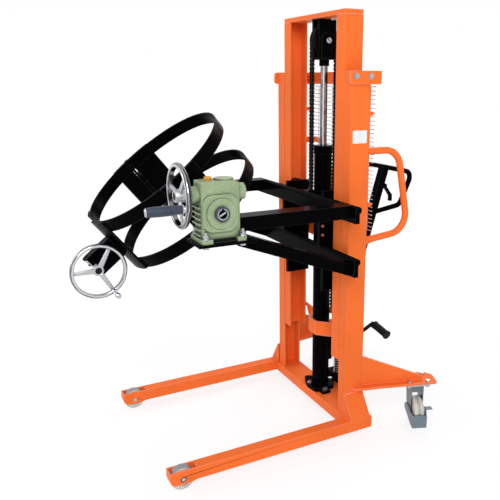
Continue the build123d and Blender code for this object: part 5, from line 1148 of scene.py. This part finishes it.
class STACKER_OT_stage(bpy.types.Operator):
    """Pale floor, soft lamps and the camera"""
    bl_idname = "stacker.stage"
    bl_label = "Stage"

    # Name, place, size and power of each lamp, all turned to one point above the floor
    lamps = (("key", (3.8, -1.8, 3.4), 2.4, 135), ("fill", (-1.6, -3.2, 2.2), 2.4, 36),
             ("back", (-1.8, 2.6, 3.0), 2.0, 45))
    aim = (0, 0, 0.8)
    soft_light = 0.48
    # The floor glows more from near the machine to further out, so that its shadow stays
    floor_radius = 40
    floor_glow = 1.05
    glow_shares = (0.74, 1.0)
    glow_places = (0.9, 2.2)
    # Camera as fitted to the photograph: millimetres from the mast, degrees of pitch and turn, and its lens
    camera_spot = (2354.2, -1398.5, 1468.5)
    camera_pitch = 14.685
    camera_turn = 61.796
    camera_lens = 45.45
    camera_shift = (-0.0838, -0.0061)

    def execute(self, context):
        scene = context.scene
        scene.view_settings.view_transform = "Standard"
        self.world(scene)
        self.floor()
        for name, place, size, power in self.lamps:
            self.lamp(name, Vector(place), size, power)
        self.camera(scene)
        return {"FINISHED"}

    def seen(self, tree):
        """1 for rays from the camera or off gloss and glass, 0 for the light on the machine."""
        path = tree.nodes.new("ShaderNodeLightPath")
        gloss = combine(tree, "MAXIMUM", path.outputs["Is Camera Ray"], path.outputs["Is Glossy Ray"])
        return combine(tree, "MAXIMUM", gloss, path.outputs["Is Transmission Ray"])

    def choose(self, tree, share, first, second, output):
        """One shader or another, by a share from 0 to 1, as what the world or a surface shows."""
        mix = tree.nodes.new("ShaderNodeMixShader")
        tree.links.new(share, mix.inputs["Fac"])
        tree.links.new(first.outputs[0], mix.inputs[1])
        tree.links.new(second.outputs[0], mix.inputs[2])
        tree.links.new(mix.outputs["Shader"], tree.nodes.new(output).inputs["Surface"])

    def world(self, scene):
        world = bpy.data.worlds.new("studio")
        world.use_nodes = True
        tree = world.node_tree
        tree.nodes.clear()
        soft = tree.nodes.new("ShaderNodeBackground")
        soft.inputs["Strength"].default_value = self.soft_light
        white = tree.nodes.new("ShaderNodeBackground")
        for background in (soft, white):
            background.inputs["Color"].default_value = (1, 1, 1, 1)
        self.choose(tree, self.seen(tree), soft, white, "ShaderNodeOutputWorld")
        scene.world = world

    def floor(self):
        shape = bmesh.new()
        bmesh.ops.create_circle(shape, cap_ends=True, segments=64, radius=self.floor_radius)
        mesh = mesh_from(shape, "floor")
        finish = bpy.data.materials.new("floor")
        finish.use_nodes = True
        tree = finish.node_tree
        tree.nodes.clear()
        matte = tree.nodes.new("ShaderNodeBsdfDiffuse")
        matte.inputs["Color"].default_value = (*colours().floor, 1)
        glow = tree.nodes.new("ShaderNodeEmission")
        place = tree.nodes.new("ShaderNodeTexCoord")
        away = tree.nodes.new("ShaderNodeVectorMath")
        away.operation = "LENGTH"
        tree.links.new(place.outputs["Object"], away.inputs[0])
        fade = spread(tree, away.outputs["Value"], *self.glow_shares, *self.glow_places)
        share = combine(tree, "MULTIPLY", self.seen(tree), fade)
        glow.inputs["Strength"].default_value = self.floor_glow
        self.choose(tree, share, matte, glow, "ShaderNodeOutputMaterial")
        mesh.materials.append(finish)
        floor = bpy.data.objects.new("floor", mesh)
        bpy.context.scene.collection.objects.link(floor)

    def lamp(self, name, place, size, power):
        lamp = bpy.data.lights.new(name, "AREA")
        lamp.size = size
        lamp.energy = power
        thing = bpy.data.objects.new(name, lamp)
        thing.location = place
        thing.rotation_euler = (Vector(self.aim) - place).to_track_quat("-Z", "Y").to_euler()
        bpy.context.scene.collection.objects.link(thing)

    def camera(self, scene):
        lens = bpy.data.cameras.new("camera")
        lens.lens = self.camera_lens
        lens.sensor_width = 36
        lens.shift_x, lens.shift_y = self.camera_shift
        thing = bpy.data.objects.new("camera", lens)
        thing.location = on_mast(*self.camera_spot)
        thing.rotation_euler = (radians(90 - self.camera_pitch), 0, radians(self.camera_turn))
        scene.collection.objects.link(thing)
        scene.camera = thing


STEPS = (STACKER_OT_paintwork, STACKER_OT_chain, STACKER_OT_mesh_guard, STACKER_OT_pump_spring,
         STACKER_OT_hand_wheels, STACKER_OT_fittings, STACKER_OT_stage)


class STACKER_PT_panel(bpy.types.Panel):
    """Steps that dress the drum stacker"""
    bl_label = "Drum stacker"
    bl_idname = "STACKER_PT_panel"
    bl_space_type = "VIEW_3D"
    bl_region_type = "UI"
    bl_category = "Stacker"

    def draw(self, context):
        for step in STEPS:
            self.layout.operator(step.bl_idname)


CLASSES = (StackerSizes, StackerColours, *STEPS, STACKER_PT_panel)


def register():
    for each in CLASSES:
        bpy.utils.register_class(each)
    bpy.types.Scene.stacker_sizes = PointerProperty(type=StackerSizes)
    bpy.types.Scene.stacker_colours = PointerProperty(type=StackerColours)


def unregister():
    del bpy.types.Scene.stacker_colours
    del bpy.types.Scene.stacker_sizes
    for each in reversed(CLASSES):
        bpy.utils.unregister_class(each)


def main():
    register()
    bpy.ops.stacker.paintwork()
    bpy.ops.stacker.chain()
    bpy.ops.stacker.mesh_guard()
    bpy.ops.stacker.pump_spring()
    bpy.ops.stacker.hand_wheels()
    bpy.ops.stacker.fittings()
    bpy.ops.stacker.stage()


if __name__ == "__main__":
    main()
